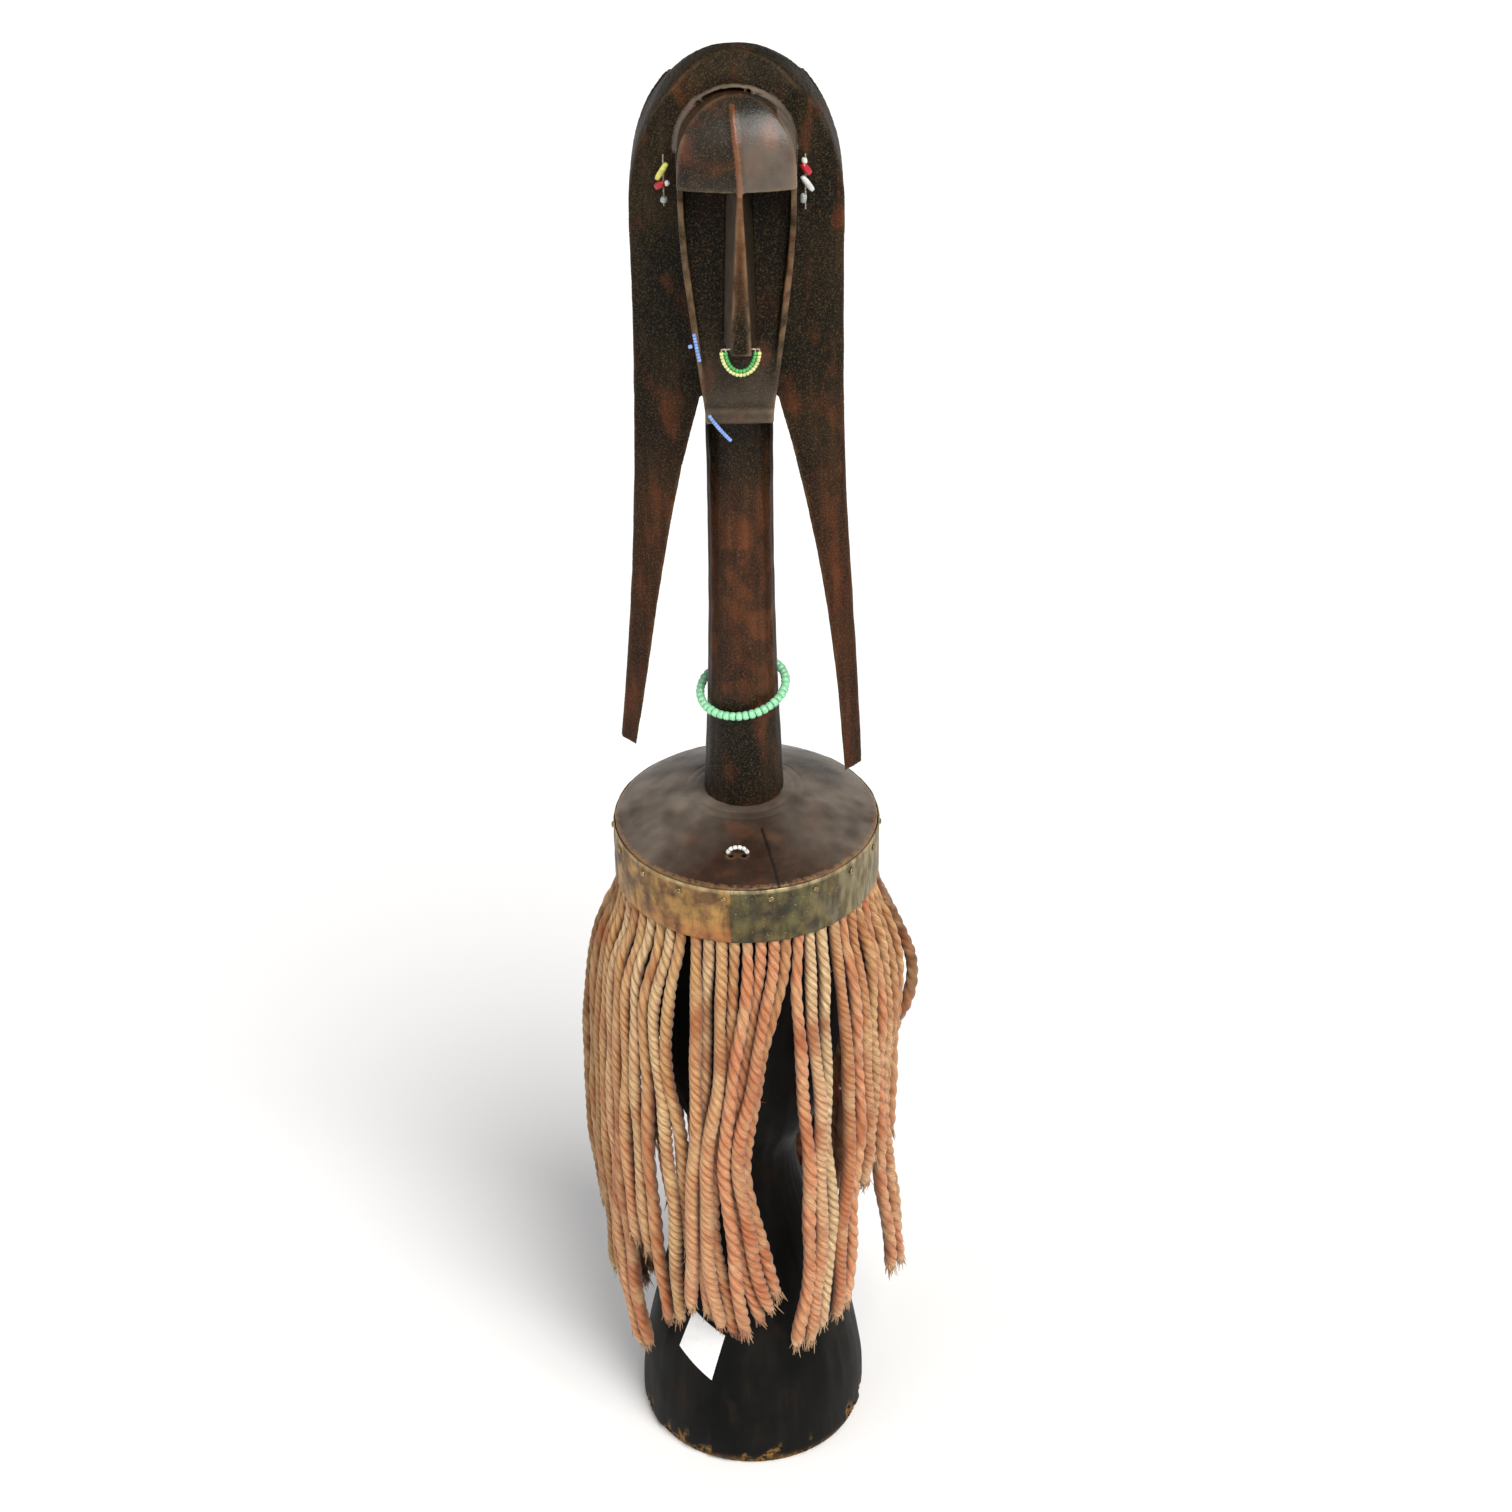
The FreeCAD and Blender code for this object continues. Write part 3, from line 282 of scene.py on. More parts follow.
def route_line(points):
    """The points of a smooth line along a route, from its NURBS spline."""
    curve = bpy.data.curves.new("route", "CURVE")
    curve.dimensions = "3D"
    curve.resolution_u = 36
    spline = curve.splines.new("NURBS")
    spline.points.add(len(points) - 1)
    for point, place in zip(spline.points, points):
        point.co = (*place, 1.0)
    spline.order_u = 3
    spline.use_endpoint_u = True
    holder = bpy.data.objects.new("route", curve)
    mesh = bpy.data.meshes.new_from_object(holder)
    line = np.array([vertex.co for vertex in mesh.vertices])
    bpy.data.objects.remove(holder)
    bpy.data.curves.remove(curve)
    bpy.data.meshes.remove(mesh)
    return line


def frames_along(line):
    """Distances along a line, and at each point its direction and two directions across it."""
    steps = np.linalg.norm(np.diff(line, axis=0), axis=1)
    distance = np.concatenate([[0.0], np.cumsum(steps)])
    tangent = np.gradient(line, axis=0)
    tangent /= np.linalg.norm(tangent, axis=1)[:, None]
    across = np.zeros_like(line)
    side = np.cross(tangent[0], (0.31, 0.95, 0.1))
    for index, direction in enumerate(tangent):
        side = side - direction * (side @ direction)
        side /= np.linalg.norm(side)
        across[index] = side
    return distance, tangent, across, np.cross(tangent, across)


def tube_mesh(centre, across, other, reach, turn, lengthwise):
    """Points, faces and UVs of a closed tube whose reach varies round and along it."""
    rings, sides = reach.shape
    angle = np.linspace(0, 2 * math.pi, sides, endpoint=False)[None, :] + turn[:, None]
    points = (centre[:, None, :]
              + (reach * np.cos(angle))[:, :, None] * across[:, None, :]
              + (reach * np.sin(angle))[:, :, None] * other[:, None, :]).reshape(-1, 3)
    faces, uvs = [], []
    for ring in range(rings - 1):
        low, high = ring * sides, (ring + 1) * sides
        for side in range(sides):
            after = (side + 1) % sides
            faces.append((low + side, low + after, high + after, high + side))
            left, right = side / sides, (side + 1) / sides
            uvs += [(left, lengthwise[ring]), (right, lengthwise[ring]),
                    (right, lengthwise[ring + 1]), (left, lengthwise[ring + 1])]
    for ring, order in ((0, -1), (rings - 1, 1)):
        cap = [ring * sides + side for side in range(sides)][::order]
        faces.append(tuple(cap))
        uvs += [(0.5, lengthwise[ring])] * sides
    return points, faces, uvs


class Bundle:
    """Tubes gathered into one mesh, with a colour at each point."""

    def __init__(self):
        self.points, self.faces, self.uvs, self.colours = [], [], [], []

    def add(self, points, faces, uvs, colours):
        offset = sum(len(block) for block in self.points)
        self.points.append(np.asarray(points))
        self.faces += [tuple(index + offset for index in face) for face in faces]
        self.uvs += uvs
        self.colours.append(np.asarray(colours))

    def build(self, name, material):
        mesh = bpy.data.meshes.new(name)
        mesh.from_pydata(np.concatenate(self.points).tolist(), [], self.faces)
        layer = mesh.uv_layers.new(name="yarn")
        layer.data.foreach_set("uv", np.array(self.uvs, np.float32).ravel())
        tone = mesh.color_attributes.new("tone", "FLOAT_COLOR", "POINT")
        tone.data.foreach_set("color", np.concatenate(self.colours).astype(np.float32).ravel())
        mesh.shade_smooth()
        mesh.materials.append(material)
        piece = bpy.data.objects.new(name, mesh)
        bpy.context.scene.collection.objects.link(piece)
        return piece


def blended(first, last, share):
    share = np.clip(share, 0, 1)[:, None]
    return np.array(first)[None, :] * (1 - share) + np.array(last)[None, :] * share


def add_cord(bundle, points, tones, rng):
    """One twisted cord along its route, slimmer where the band grips it, and its length."""
    line = route_line(points)
    distance, _, across, other = frames_along(line)
    length = distance[-1]
    outward = line[:, :2] / np.linalg.norm(line[:, :2], axis=1)[:, None]
    pitch = rng.uniform(0.014, 0.027)
    plies = rng.choice((3, 3, 4))
    phase = rng.uniform(0, 2 * math.pi)
    turn = phase - 2 * math.pi * distance / pitch
    turn += 0.45 * np.sin(distance / 0.019 + 2 * phase) + 0.25 * np.sin(distance / 0.0075 + phase)
    angle = np.linspace(0, 2 * math.pi, SIDES, endpoint=False)
    from_ply = (angle + math.pi / plies) % (2 * math.pi / plies) - math.pi / plies
    section = PLY_OFFSET * np.cos(from_ply) + np.sqrt(
        np.maximum(PLY_RADIUS ** 2 - (PLY_OFFSET * np.sin(from_ply)) ** 2, 0))
    depth = np.clip((0.330 - line[:, 2]) / 0.13, 0, 1)
    swell = 0.93 + 0.33 * depth + 0.05 * np.sin(distance / 0.013 + phase)
    swell += 0.04 * np.sin(distance / 0.0052 + 3 * phase)
    swell *= 1 - 0.30 * np.clip(1 - (length - distance) / TAPER_LENGTH, 0, 1) ** 1.5
    ends = np.clip(np.minimum(distance, length - distance) / 0.0014, 0, 1)
    swell *= 0.55 + 0.45 * np.sqrt(ends)
    reach = CORD_DIAMETER / 2 * swell[:, None] * section[None, :]
    sway = SWAY * np.clip(distance / 0.04, 0, 1)
    centre = (line + (sway * np.sin(distance / 0.0115 + phase))[:, None] * across
              + (sway * np.sin(distance / 0.0162 + 2 * phase))[:, None] * other)
    mesh = tube_mesh(centre, across, other, reach, turn, distance / pitch)
    share = distance / 0.24 + 0.12 * np.sin(distance / 0.017 + rng.uniform(0, 6))
    colours = blended(*tones, share)
    tip = (0.6 * np.clip(1 - (length - distance) / PALE_TIP_LENGTH, 0, 1) ** 1.3)[:, None]
    colours = colours * (1 - tip) + np.array(CREAM)[None, :] * tip
    # Painted shade: the grooves between the plies are darkened towards the shade brown, less so at the
    # pale tip.
    ply_groove_shade = ((section.max() - section) / (section.max() - section.min())) ** 1.5
    ply_groove_shade = ply_groove_shade[None, :, None] * (0.70 * (1 - tip))[:, :, None]
    colours = colours[:, None, :] * (1 - ply_groove_shade) + np.array(CORD_SHADE_BROWN)[None, None, :] * ply_groove_shade
    # Painted shade: the side of each cord that turns away from the outside of the skirt, towards its
    # neighbours, is darkened towards the shade brown.
    ring_angle = angle[None, :] + turn[:, None]
    facing = (np.cos(ring_angle) * (across[:, :2] * outward).sum(axis=1)[:, None]
              + np.sin(ring_angle) * (other[:, :2] * outward).sum(axis=1)[:, None])
    shade = (np.clip((0.78 - facing) / 0.8, 0, 1) * 0.75)[:, :, None] * (1 - tip)[:, :, None]
    colours = colours * (1 - shade) + np.array(CORD_SHADE_BROWN)[None, None, :] * shade
    bundle.add(*mesh, colours.reshape(-1, 4))
    return line, length


def add_fibre(bundle, start, direction, length, curl, radius, colour):
    """One thin tapered fibre that bends away as it goes."""
    steps = np.linspace(0, 1, FIBRE_RINGS)[:, None]
    line = np.array(start) + np.array(direction) * steps * length + np.array(curl) * steps ** 2 * length
    distance, _, across, other = frames_along(line)
    reach = radius * np.repeat(1.05 - 0.75 * steps, FIBRE_SIDES, axis=1)
    mesh = tube_mesh(line, across, other, reach, np.zeros(FIBRE_RINGS), distance)
    bundle.add(*mesh, np.tile(np.array(colour), (FIBRE_RINGS * FIBRE_SIDES, 1)))


def add_fray(bundle, line, tone, rng):
    """The loosened fibres at a cord's cut end, and a few stray ones along it."""
    end = line[-1]
    along = line[-1] - line[-8]
    along /= np.linalg.norm(along)
    pale = [0.45 * a + 0.55 * b for a, b in zip(tone, CREAM)]
    for _ in range(FIBRES):
        spread = np.array([rng.gauss(0, 1) for _ in range(3)])
        start = end - along * rng.uniform(0.002, 0.006) + spread * 0.0009
        heading = along + spread * 0.075
        curl = np.array([rng.gauss(0, 0.10) for _ in range(3)])
        shade = rng.uniform(0.72, 1.08)
        colour = [min(1.0, value * shade) for value in pale[:3]] + [1.0]
        add_fibre(bundle, start, heading, rng.uniform(0.004, 0.0075), curl, FIBRE_RADIUS, colour)
    for _ in range(STRAYS):
        index = rng.randrange(12, len(line) - 4)
        spread = np.array([rng.gauss(0, 1) for _ in range(3)])
        start = line[index] + spread / np.linalg.norm(spread) * 0.0021
        heading = spread / np.linalg.norm(spread) * 0.7 + np.array((0, 0, -0.6))
        length = rng.uniform(0.0015, 0.004)
        add_fibre(bundle, start, heading, length, spread * 0.2, STRAY_RADIUS, tone)


def cotton_look():
    look = Look("twisted_cotton", Sheen_Weight=0.25, Specular_IOR_Level=0.15)
    yarn = look.node("ShaderNodeUVMap", {"uv_map": "yarn"}).outputs[0]
    strands = look.noise(1.0, 3.0, (60, 5, 1), yarn)
    clumps = look.noise(90, 3.0)
    fluff = look.noise(1600, 2.0)
    tone = look.read_colour("tone")
    faded = look.mix(look.span(clumps, 0.42, 0.68, 0.0, 0.55), tone, rgb(228, 196, 146))
    dirty = look.mix(look.span(look.noise(42, 4.0), 0.50, 0.70, 0.0, 0.72), faded, rgb(160, 82, 38))
    # Painted shade: darker brown where the strand noise is low, in the grooves of the bump below.
    strand_groove_shaded = look.mix(look.span(strands, 0.36, 0.62, 0.75, 0.0), dirty, rgb(138, 74, 34))
    height = look.sum("ADD", look.sum("MULTIPLY", strands, 0.7), look.sum("MULTIPLY", fluff, 0.45))
    return look.finish(strand_groove_shaded, 0.92, look.relief(height, 0.0006, 0.9))


cotton = cotton_look()
rng = random.Random(7)
frays = {"front": Bundle(), "back": Bundle()}


def side_name(number):
    if number == 0:
        return "centre"
    return f"{'left' if number < 0 else 'right'}_{abs(number):02d}"


def make_cord(name, cord, tones):
    bundle = Bundle()
    line, length = add_cord(bundle, cord_points(*cord[1:]), tones, rng)
    piece = bundle.build(name, cotton)
    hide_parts(f"skirt_cord_{name[5:]}")
    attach(piece, "figure")
    return line


for cord in FRONT_CORDS:
    tones = TONES[cord[0]]
    line = make_cord(f"cord_front_{side_name(cord[0])}", cord, tones)
    add_fray(frays["front"], line, tones[1], rng)

grouped = {"left": Bundle(), "right": Bundle()}
for cord in [mirrored(cord) for cord in FRONT_CORDS if abs(cord[0]) < 15]:
    number = cord[0]
    tones = (rng.choice((STRAW, CREAM, TAN, OLIVE)), rng.choice((SALMON, TAN, RUST, STRAW)))
    if number in LONG_BACK_NUMBERS:
        line = make_cord(f"cord_back_{side_name(number)}", cord, tones)
    else:
        side = "left" if number < 0 else "right"
        line, _ = add_cord(grouped[side], cord_points(*cord[1:]), tones, rng)
    add_fray(frays["back"], line, tones[1], rng)
for side, bundle in grouped.items():
    piece = bundle.build(f"cords_back_{side}", cotton)
    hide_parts(f"skirt_cords_back_{side}")
    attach(piece, "figure")
for side, bundle in frays.items():
    piece = bundle.build(f"cord_fibres_{side}", cotton)
    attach(piece, "figure")


# Carved wood: finely meshed copies of the CAD pieces, edges rounded, surface worked and worn.

BROAD_ROUNDS = 14
SOFT_ROUNDS = 50
WORN_FROM = 0.00011
WORN_RANGE = 0.00042
SHADED_RECESS_DEPTH = 0.0004


def numbers(collection, field, width):
    values = np.zeros(len(collection) * width, np.float32)
    collection.foreach_get(field, values)
    return values.reshape(-1, width).astype(float) if width > 1 else values


def smoothed(points, pairs, rounds):
    """Each point moved towards the mean of its neighbours, several times."""
    count = len(points)
    first, second = pairs.T
    degree = np.bincount(first, minlength=count) + np.bincount(second, minlength=count)
    for _ in range(rounds):
        total = np.stack([
            np.bincount(first, points[second, axis], count)
            + np.bincount(second, points[first, axis], count) for axis in range(3)], axis=1)
        points = total / degree[:, None]
    return points


def waves(points, size, detail=3, stretch=(1, 1, 1), offset=0.0):
    """Smooth noise from about -1 to 1 at each point, its lumps about one size across."""
    scaled = points * (np.array(stretch) / size) + offset
    return np.array([noise.fractal(point, 0.6, 2.0, detail) for point in scaled])


def carved(node, name, voxel, rounding, shape):
    """A finely meshed copy of a CAD node. shape() moves its points and names their marks, how
    much their edges are rubbed and how far they are softened."""
    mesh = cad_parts[node].data.copy()
    welded = bmesh.new()
    welded.from_mesh(mesh)
    bmesh.ops.remove_doubles(welded, verts=welded.verts, dist=1e-6)
    welded.to_mesh(mesh)
    welded.free()
    piece = bpy.data.objects.new(name, mesh)
    bpy.context.scene.collection.objects.link(piece)
    remesh = piece.modifiers.new("remesh", "REMESH")
    remesh.mode = "VOXEL"
    remesh.voxel_size = voxel
    graph = bpy.context.evaluated_depsgraph_get()
    piece.data = bpy.data.meshes.new_from_object(piece.evaluated_get(graph))
    piece.modifiers.clear()
    mesh = piece.data
    pairs = np.zeros(len(mesh.edges) * 2, np.int32)
    mesh.edges.foreach_get("vertices", pairs)
    pairs = pairs.reshape(-1, 2)
    points = smoothed(numbers(mesh.vertices, "co", 3), pairs, rounding)
    normals = numbers(mesh.vertex_normals, "vector", 3)
    broad = smoothed(points, pairs, BROAD_ROUNDS)
    bulge = ((points - broad) * normals).sum(axis=1)
    offset, marks, rub, soften = shape(points)
    softer = smoothed(broad, pairs, SOFT_ROUNDS)
    points = points + (softer - points) * soften[:, None] + normals * offset[:, None]
    mesh.vertices.foreach_set("co", points.astype(np.float32).ravel())
    marks["worn"] = np.clip((bulge - WORN_FROM) / WORN_RANGE, 0, 1) * rub
    # Painted shade: points lying in recesses are darkened, on top of the shade and crack marks that
    # shape() gives.
    marks["shade_and_crack"] = np.maximum(np.clip(-bulge / SHADED_RECESS_DEPTH, 0, 1), marks.get("shade_and_crack", 0))
    for mark, values in marks.items():
        layer = mesh.attributes.new(mark, "FLOAT", "POINT")
        layer.data.foreach_set("value", values.astype(np.float32))
    mesh.shade_smooth()
    mesh.materials.clear()
    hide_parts(node)
    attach(piece, "figure")
    return piece


def wood_look(name, dark, brown, red, bare, gloss, grain_size, pitted):
    """Oiled wood: grain along Z, blotches, pits, worn pale edges, a pale layer that is partly dusty and
    partly painted sheen, painted shade in recesses and the dark of cracks.
    """
    look = Look(name)
    look.feed(look.shader.inputs["Specular IOR Level"], look.span(look.read("polish"), 0, 1, 0.07, 0.30))
    grain = look.noise(1.0, 4.0, (1 / grain_size, 1 / grain_size, 0.07 / grain_size))
    blotch = look.noise(42, 5.0, (1, 1, 0.55))
    blush = look.noise(85, 6.0, (1, 1, 0.5))
    speck = look.noise(1500, 3.0)
    base = look.mix(look.span(blotch, 0.42, 0.66), dark, brown)
    base = look.mix(look.span(blush, 0.55, 0.70, 0.0, 0.9), base, red)
    flushed = look.sum("MULTIPLY", look.read("blush"), look.span(blush, 0.3, 0.6, 0.4, 1.0))
    base = look.mix(flushed, base, red)
    base = look.mix(look.read("ember"), base, rgb(142, 78, 40))
    base = look.mix(look.span(grain, 0.38, 0.62, 0.5, 0.0), base, dark)
    # A pale layer: dusty in places, and a painted highlight and reflection on the forehead and the disc's
    # top.
    dusty_layer_and_sheen = look.sum("MULTIPLY", look.read("dust_and_sheen"), look.span(look.noise(95, 4.0), 0.3, 0.65, 0.55, 1.0))
    base = look.mix(dusty_layer_and_sheen, base, rgb(128, 116, 104))
    rubbed_and_highlight = look.sum("MULTIPLY", look.read("worn"), look.span(look.noise(160, 4.0), 0.36, 0.6, 0.15, 1.0))
    base = look.mix(rubbed_and_highlight, base, bare)
    chipped = look.sum("MULTIPLY", look.read("bare"), look.span(look.noise(420, 4.0), 0.42, 0.52))
    base = look.mix(chipped, base, bare)
    # Near black where that mark is set: painted shade in recesses, on the cheeks and under the chin, and
    # the dark of the disc's crack.
    base = look.mix(look.sum("MULTIPLY", look.read("shade_and_crack"), 0.8), base, (0.004, 0.003, 0.002, 1))
    if pitted:
        pits = look.span(look.cells(620), 0.05, 0.32)
        base = look.mix(look.sum("MULTIPLY", look.span(speck, 0.50, 0.70), 0.36), base, rgb(112, 92, 64))
    else:
        pits = look.span(speck, 0.3, 0.7)
    height = look.sum("ADD", look.sum("MULTIPLY", grain, 0.6), look.sum("MULTIPLY", pits, 0.4))
    rough = look.sum("ADD", look.span(blotch, 0.3, 0.7, gloss, gloss + 0.2),
                     look.sum("MULTIPLY", look.read("polish"), -0.22))
    strength = look.span(look.read("polish"), 0, 1, 0.75, 0.2 if pitted else 0.65)
    normal = look.relief(height, 0.00035 if pitted else 0.0002, strength)
    return look.finish(base, rough, normal)


BROW = 0.655
HAIR_CURVE_RADIUS = 0.075
HAIR_CURVE_CENTRE = 0.058
HEAD_X = -0.0008
NECK_Y = 0.005
NECK_TOP = 0.546
NECK_REACH = 0.0195
NECK_FACET = math.pi / 9
FACE_X = -0.0006
FACE_FOOT = 0.54
FACE_HEIGHTS = (0.536, 0.562, 0.597, 0.625, 0.664)
FACE_HALF_WIDTHS = (0.0145, 0.0145, 0.0185, 0.0225, 0.0235)
FACE_FLOOR_HEIGHTS = (0.566, BROW)
FACE_FLOOR_Y = (-0.0355, -0.019)
DIADEM_X = -0.0011
DIADEM_FOOT = 0.664
DIADEM_HALF_WIDTH = 0.0229
DIADEM_RISE = 0.0256
RIDGE_HEIGHTS = (BROW, 0.668, 0.684)
RIDGE_X = (0.0007, -0.0002, -0.0021)
RIDGE_TOP = 0.685
NOSE_FOOT = 0.5915


def between(values, low, high):
    """A smooth climb from 0 to 1 between two values."""
    share = np.clip((values - low) / (high - low), 0, 1)
    return share * share * (3 - 2 * share)


def nose_region(x, y, z, face, floor_y):
    """Which points lie on the nose, and which of those on its narrow front."""
    drop = np.clip((BROW - z) / (BROW - NOSE_FOOT), 0, 1)
    nose_back, nose_front = -0.012 - 0.012 * drop, -0.037 - 0.0082 * drop
    out = np.clip((y - nose_back) / (nose_front - nose_back), 0, 1)
    left = (-0.0064 - 0.0016 * drop) * (1 - out) + (-0.0004 - 0.0035 * drop) * out
    right = (0.0064 + 0.0014 * drop) * (1 - out) + (0.0012 + 0.0031 * drop) * out
    nose = (face & (z < BROW) & (z > NOSE_FOOT - 0.001) & (y < floor_y - 0.0012)
            & (x > left - 0.001) & (x < right + 0.001))
    return nose, nose & (y < nose_front + 0.0006)


def head_offset(points, face, hair, neck):
    """How far tool marks, pits and the neck's facets move the surface."""
    x, y, z = points.T
    worked = waves(points, 0.011, 2, (1, 1, 0.6)) * 0.00022
    pits = waves(points, 0.0016, 2, (1, 1, 1), 3.1)
    hatch = np.sin((x + z * 0.8) / 0.00042) * np.sin((x - z * 0.8) / 0.00042)
    offset = worked * np.where(face, 0.5, 1.0) - hair * (np.maximum(pits, 0) * 0.00022 + 0.00005 * hatch)
    turn = np.arctan2(x - HEAD_X, -(y - NECK_Y))
    flat = np.cos(turn - np.round(turn / NECK_FACET) * NECK_FACET) - 0.99
    return offset + neck * flat * 0.012


def head_shape(points):
    x, y, z = points.T
    face_x = x - FACE_X
    neck_x = x - HEAD_X
    hair_front = HAIR_CURVE_CENTRE - np.sqrt(HAIR_CURVE_RADIUS ** 2 - np.clip(neck_x, -0.07, 0.07) ** 2)
    arch = np.hypot((x - DIADEM_X) / DIADEM_HALF_WIDTH, (z - DIADEM_FOOT) / DIADEM_RISE)
    narrow = np.abs(face_x) < np.interp(z, FACE_HEIGHTS, FACE_HALF_WIDTHS)
    within = np.where(z > DIADEM_FOOT, arch < 0.985, narrow)
    face = within & (y < hair_front + 0.003) & (z > FACE_FOOT)
    neck = (z < NECK_TOP) & (np.hypot(neck_x, y - NECK_Y) < NECK_REACH)
    hair = ~(face | neck)
    forehead = face & (z > BROW - 0.0015)
    diadem = (np.abs(arch - 1.005) < 0.042) & (z > DIADEM_FOOT - 0.0025) & (y < hair_front + 0.001)
    floor_y = np.interp(z, FACE_FLOOR_HEIGHTS, FACE_FLOOR_Y)
    nose, front = nose_region(x, y, z, face, floor_y)
    side = nose & ~front
    ridge_x = np.interp(z, RIDGE_HEIGHTS, RIDGE_X)
    ridge = forehead & (np.abs(x - ridge_x) < 0.0011) & (z < RIDGE_TOP) & (y < -0.012)
    warm = waves(points, 0.016, 2, (1, 1, 1), 9.0)
    blush = hair * (1 - between(z, 0.44, 0.58)) * 0.6
    blush = blush + neck * between(z, 0.40, 0.45) * (1 - between(z, 0.50, 0.54)) * 0.55
    blush = blush + forehead * between(warm, -0.1, 0.5) * 0.8
    ember = front * between(z, 0.600, 0.640) * 0.38 + ridge * 0.6
    upper = forehead * (face_x > 0.001) * between(z, 0.664, 0.676)
    ember = ember + upper * between(warm, -0.3, 0.4) * 0.3
    middle = neck * between(z, 0.40, 0.43) * (1 - between(z, 0.49, 0.53))
    ember = ember + middle * between(warm, 0.0, 0.5) * 0.25
    # Painted shade: the cheeks beside the nose under the brow, the top of the neck under the chin and its
    # foot by the disc are darkened.
    cheek_and_neck_shade = face * (z < BROW) * ~nose * (y > floor_y - 0.002) * between(z, 0.575, 0.625)
    cheek_and_neck_shade = cheek_and_neck_shade + neck * (between(z, 0.49, 0.535) + 1 - between(z, 0.37, 0.41)) * 0.55
    # The right half of the forehead gets a pale layer that is partly dusty and partly a painted highlight
    # where the key light strikes; the diadem, nose sides and lower face get a dusty layer.
    dust_and_sheen = forehead * between(face_x, -0.001, 0.0035) * (1 - between(z, 0.668, 0.682)) * 0.55
    dust_and_sheen = dust_and_sheen + diadem * 0.62 + side * (x < 0) * 0.36 + side * (x > 0) * 0.06
    dust_and_sheen = dust_and_sheen + face * (1 - between(z, 0.560, 0.600)) * ~nose * 0.25
    polish = forehead * 1.0 + face * ~forehead * 0.12 + neck * 0.22
    rub = hair * 0.16 + neck * 0.15 + face * 0.42 + front * 0.08
    rub = np.where(diadem, 0.2, np.clip(rub, 0, 1)) * (1 - 0.7 * (side & (z < 0.60)))
    soften = hair * between(z, 0.640, 0.668) * between(arch, 1.08, 1.20) * (y < 0.012) * 0.9
    marks = {"blush": blush, "polish": polish, "dust_and_sheen": np.clip(dust_and_sheen, 0, 0.7), "ember": ember,
             "bare": np.zeros(len(x)), "shade_and_crack": cheek_and_neck_shade}
    return head_offset(points, face, hair, neck), marks, rub, soften


head = carved("carved_head", "head", 0.0006, 2, head_shape)
head.data.materials.append(wood_look(
    "oiled_head_wood", rgb(14, 13, 8), rgb(46, 36, 23), rgb(88, 46, 26), rgb(158, 128, 96),
    0.42, 0.0035, True))

DISC_RADIUS = 0.0583
RIM = 0.349
COLLAR_RINGS = (0.0222, 0.0262)
CRACK = math.radians(13.7)
CRACK_START = 0.027


def disc_shape(points):
    x, y, z = points.T
    gap = np.hypot(x, y)
    on_top = z > RIM - 0.001
    offset = waves(points, 0.018, 2) * 0.0003
    offset = np.where((gap > DISC_RADIUS - 0.0012) & (z < RIM), np.minimum(offset, 0) - 0.0004, offset)
    crack_x, crack_y = math.sin(CRACK), -math.cos(CRACK)
    crack = np.clip(1.5 - np.abs(x * crack_y - y * crack_x) / 0.0005, 0, 1)
    crack = crack * on_top * (x * crack_x + y * crack_y > CRACK_START)
    offset = offset - crack * 0.0007
    neck_gap = np.hypot(x - HEAD_X, y - NECK_Y)
    for ring in COLLAR_RINGS:
        offset = offset - on_top * 0.0004 * np.clip(1 - np.abs(neck_gap - ring) / 0.0009, 0, 1)
    # Painted reflection: the back and sides of the disc's top are paled as a sheen of the bright
    # surroundings, mottled by noise; the front keeps a redder tone.
    back_sheen = np.clip(0.62 + y / 0.055 + np.abs(x) / 0.075, 0, 1) * on_top
    dust_and_sheen = np.clip(back_sheen * (0.72 + 0.5 * waves(points, 0.02, 3, (1, 1, 1), 5.0)), 0, 0.85)
    blush = np.clip(1 - back_sheen, 0, 1) * 0.35
    edge = (gap > DISC_RADIUS - 0.0022) & on_top
    none = np.zeros(len(x))
    marks = {"blush": blush, "polish": np.full(len(x), 0.9), "dust_and_sheen": dust_and_sheen * (1 - crack),
             "ember": none, "bare": np.where(edge, 0.35, 0.0) * (1 - crack), "shade_and_crack": crack}
    return offset, marks, np.full(len(x), 0.8), none


disc = carved("shoulder_disc", "disc", 0.0007, 2, disc_shape)
disc.data.materials.append(wood_look(
    "worn_disc_wood", rgb(38, 30, 23), rgb(66, 52, 39), rgb(84, 48, 32), rgb(150, 112, 74),
    0.40, 0.004, False))


def pedestal_shape(points):
    x, y, z = points.T
    angle = np.arctan2(x, -y)
    unrolled = np.stack([np.cos(angle) * 0.03, np.sin(angle) * 0.03, z * 0.06], axis=1)
    strips = waves(unrolled, 0.006, 2)
    offset = strips * 0.0004 + waves(points, 0.03, 2) * 0.0005 - 0.0004
    chips = waves(points, 0.009, 3, (1, 1, 0.5), 8.0)
    low = np.clip(1 - z / 0.016, 0, 1)
    broken = np.clip(chips + low * 0.9 - 0.62, 0, 0.6) * low
    offset = np.where(z > 0.0012, offset - broken * 0.005, 0.0)
    bare = np.clip(broken * 5, 0, 1) + np.clip(low - 0.75, 0, 1) * 1.2
    none = np.zeros(len(x))
    marks = {"blush": none, "polish": none, "dust_and_sheen": none, "ember": none,
             "bare": np.clip(bare, 0, 1)}
    return offset, marks, np.full(len(x), 0.5), none


pedestal = carved("pedestal", "foot_column", 0.001, 2, pedestal_shape)
pedestal.data.materials.append(wood_look(
    "blackened_wood", rgb(9, 9, 8), rgb(27, 26, 23), rgb(36, 27, 20), rgb(128, 94, 50),
    0.42, 0.005, False))


# Rim band: a bent brass strip, dented, its outer end lapping over the inner one.

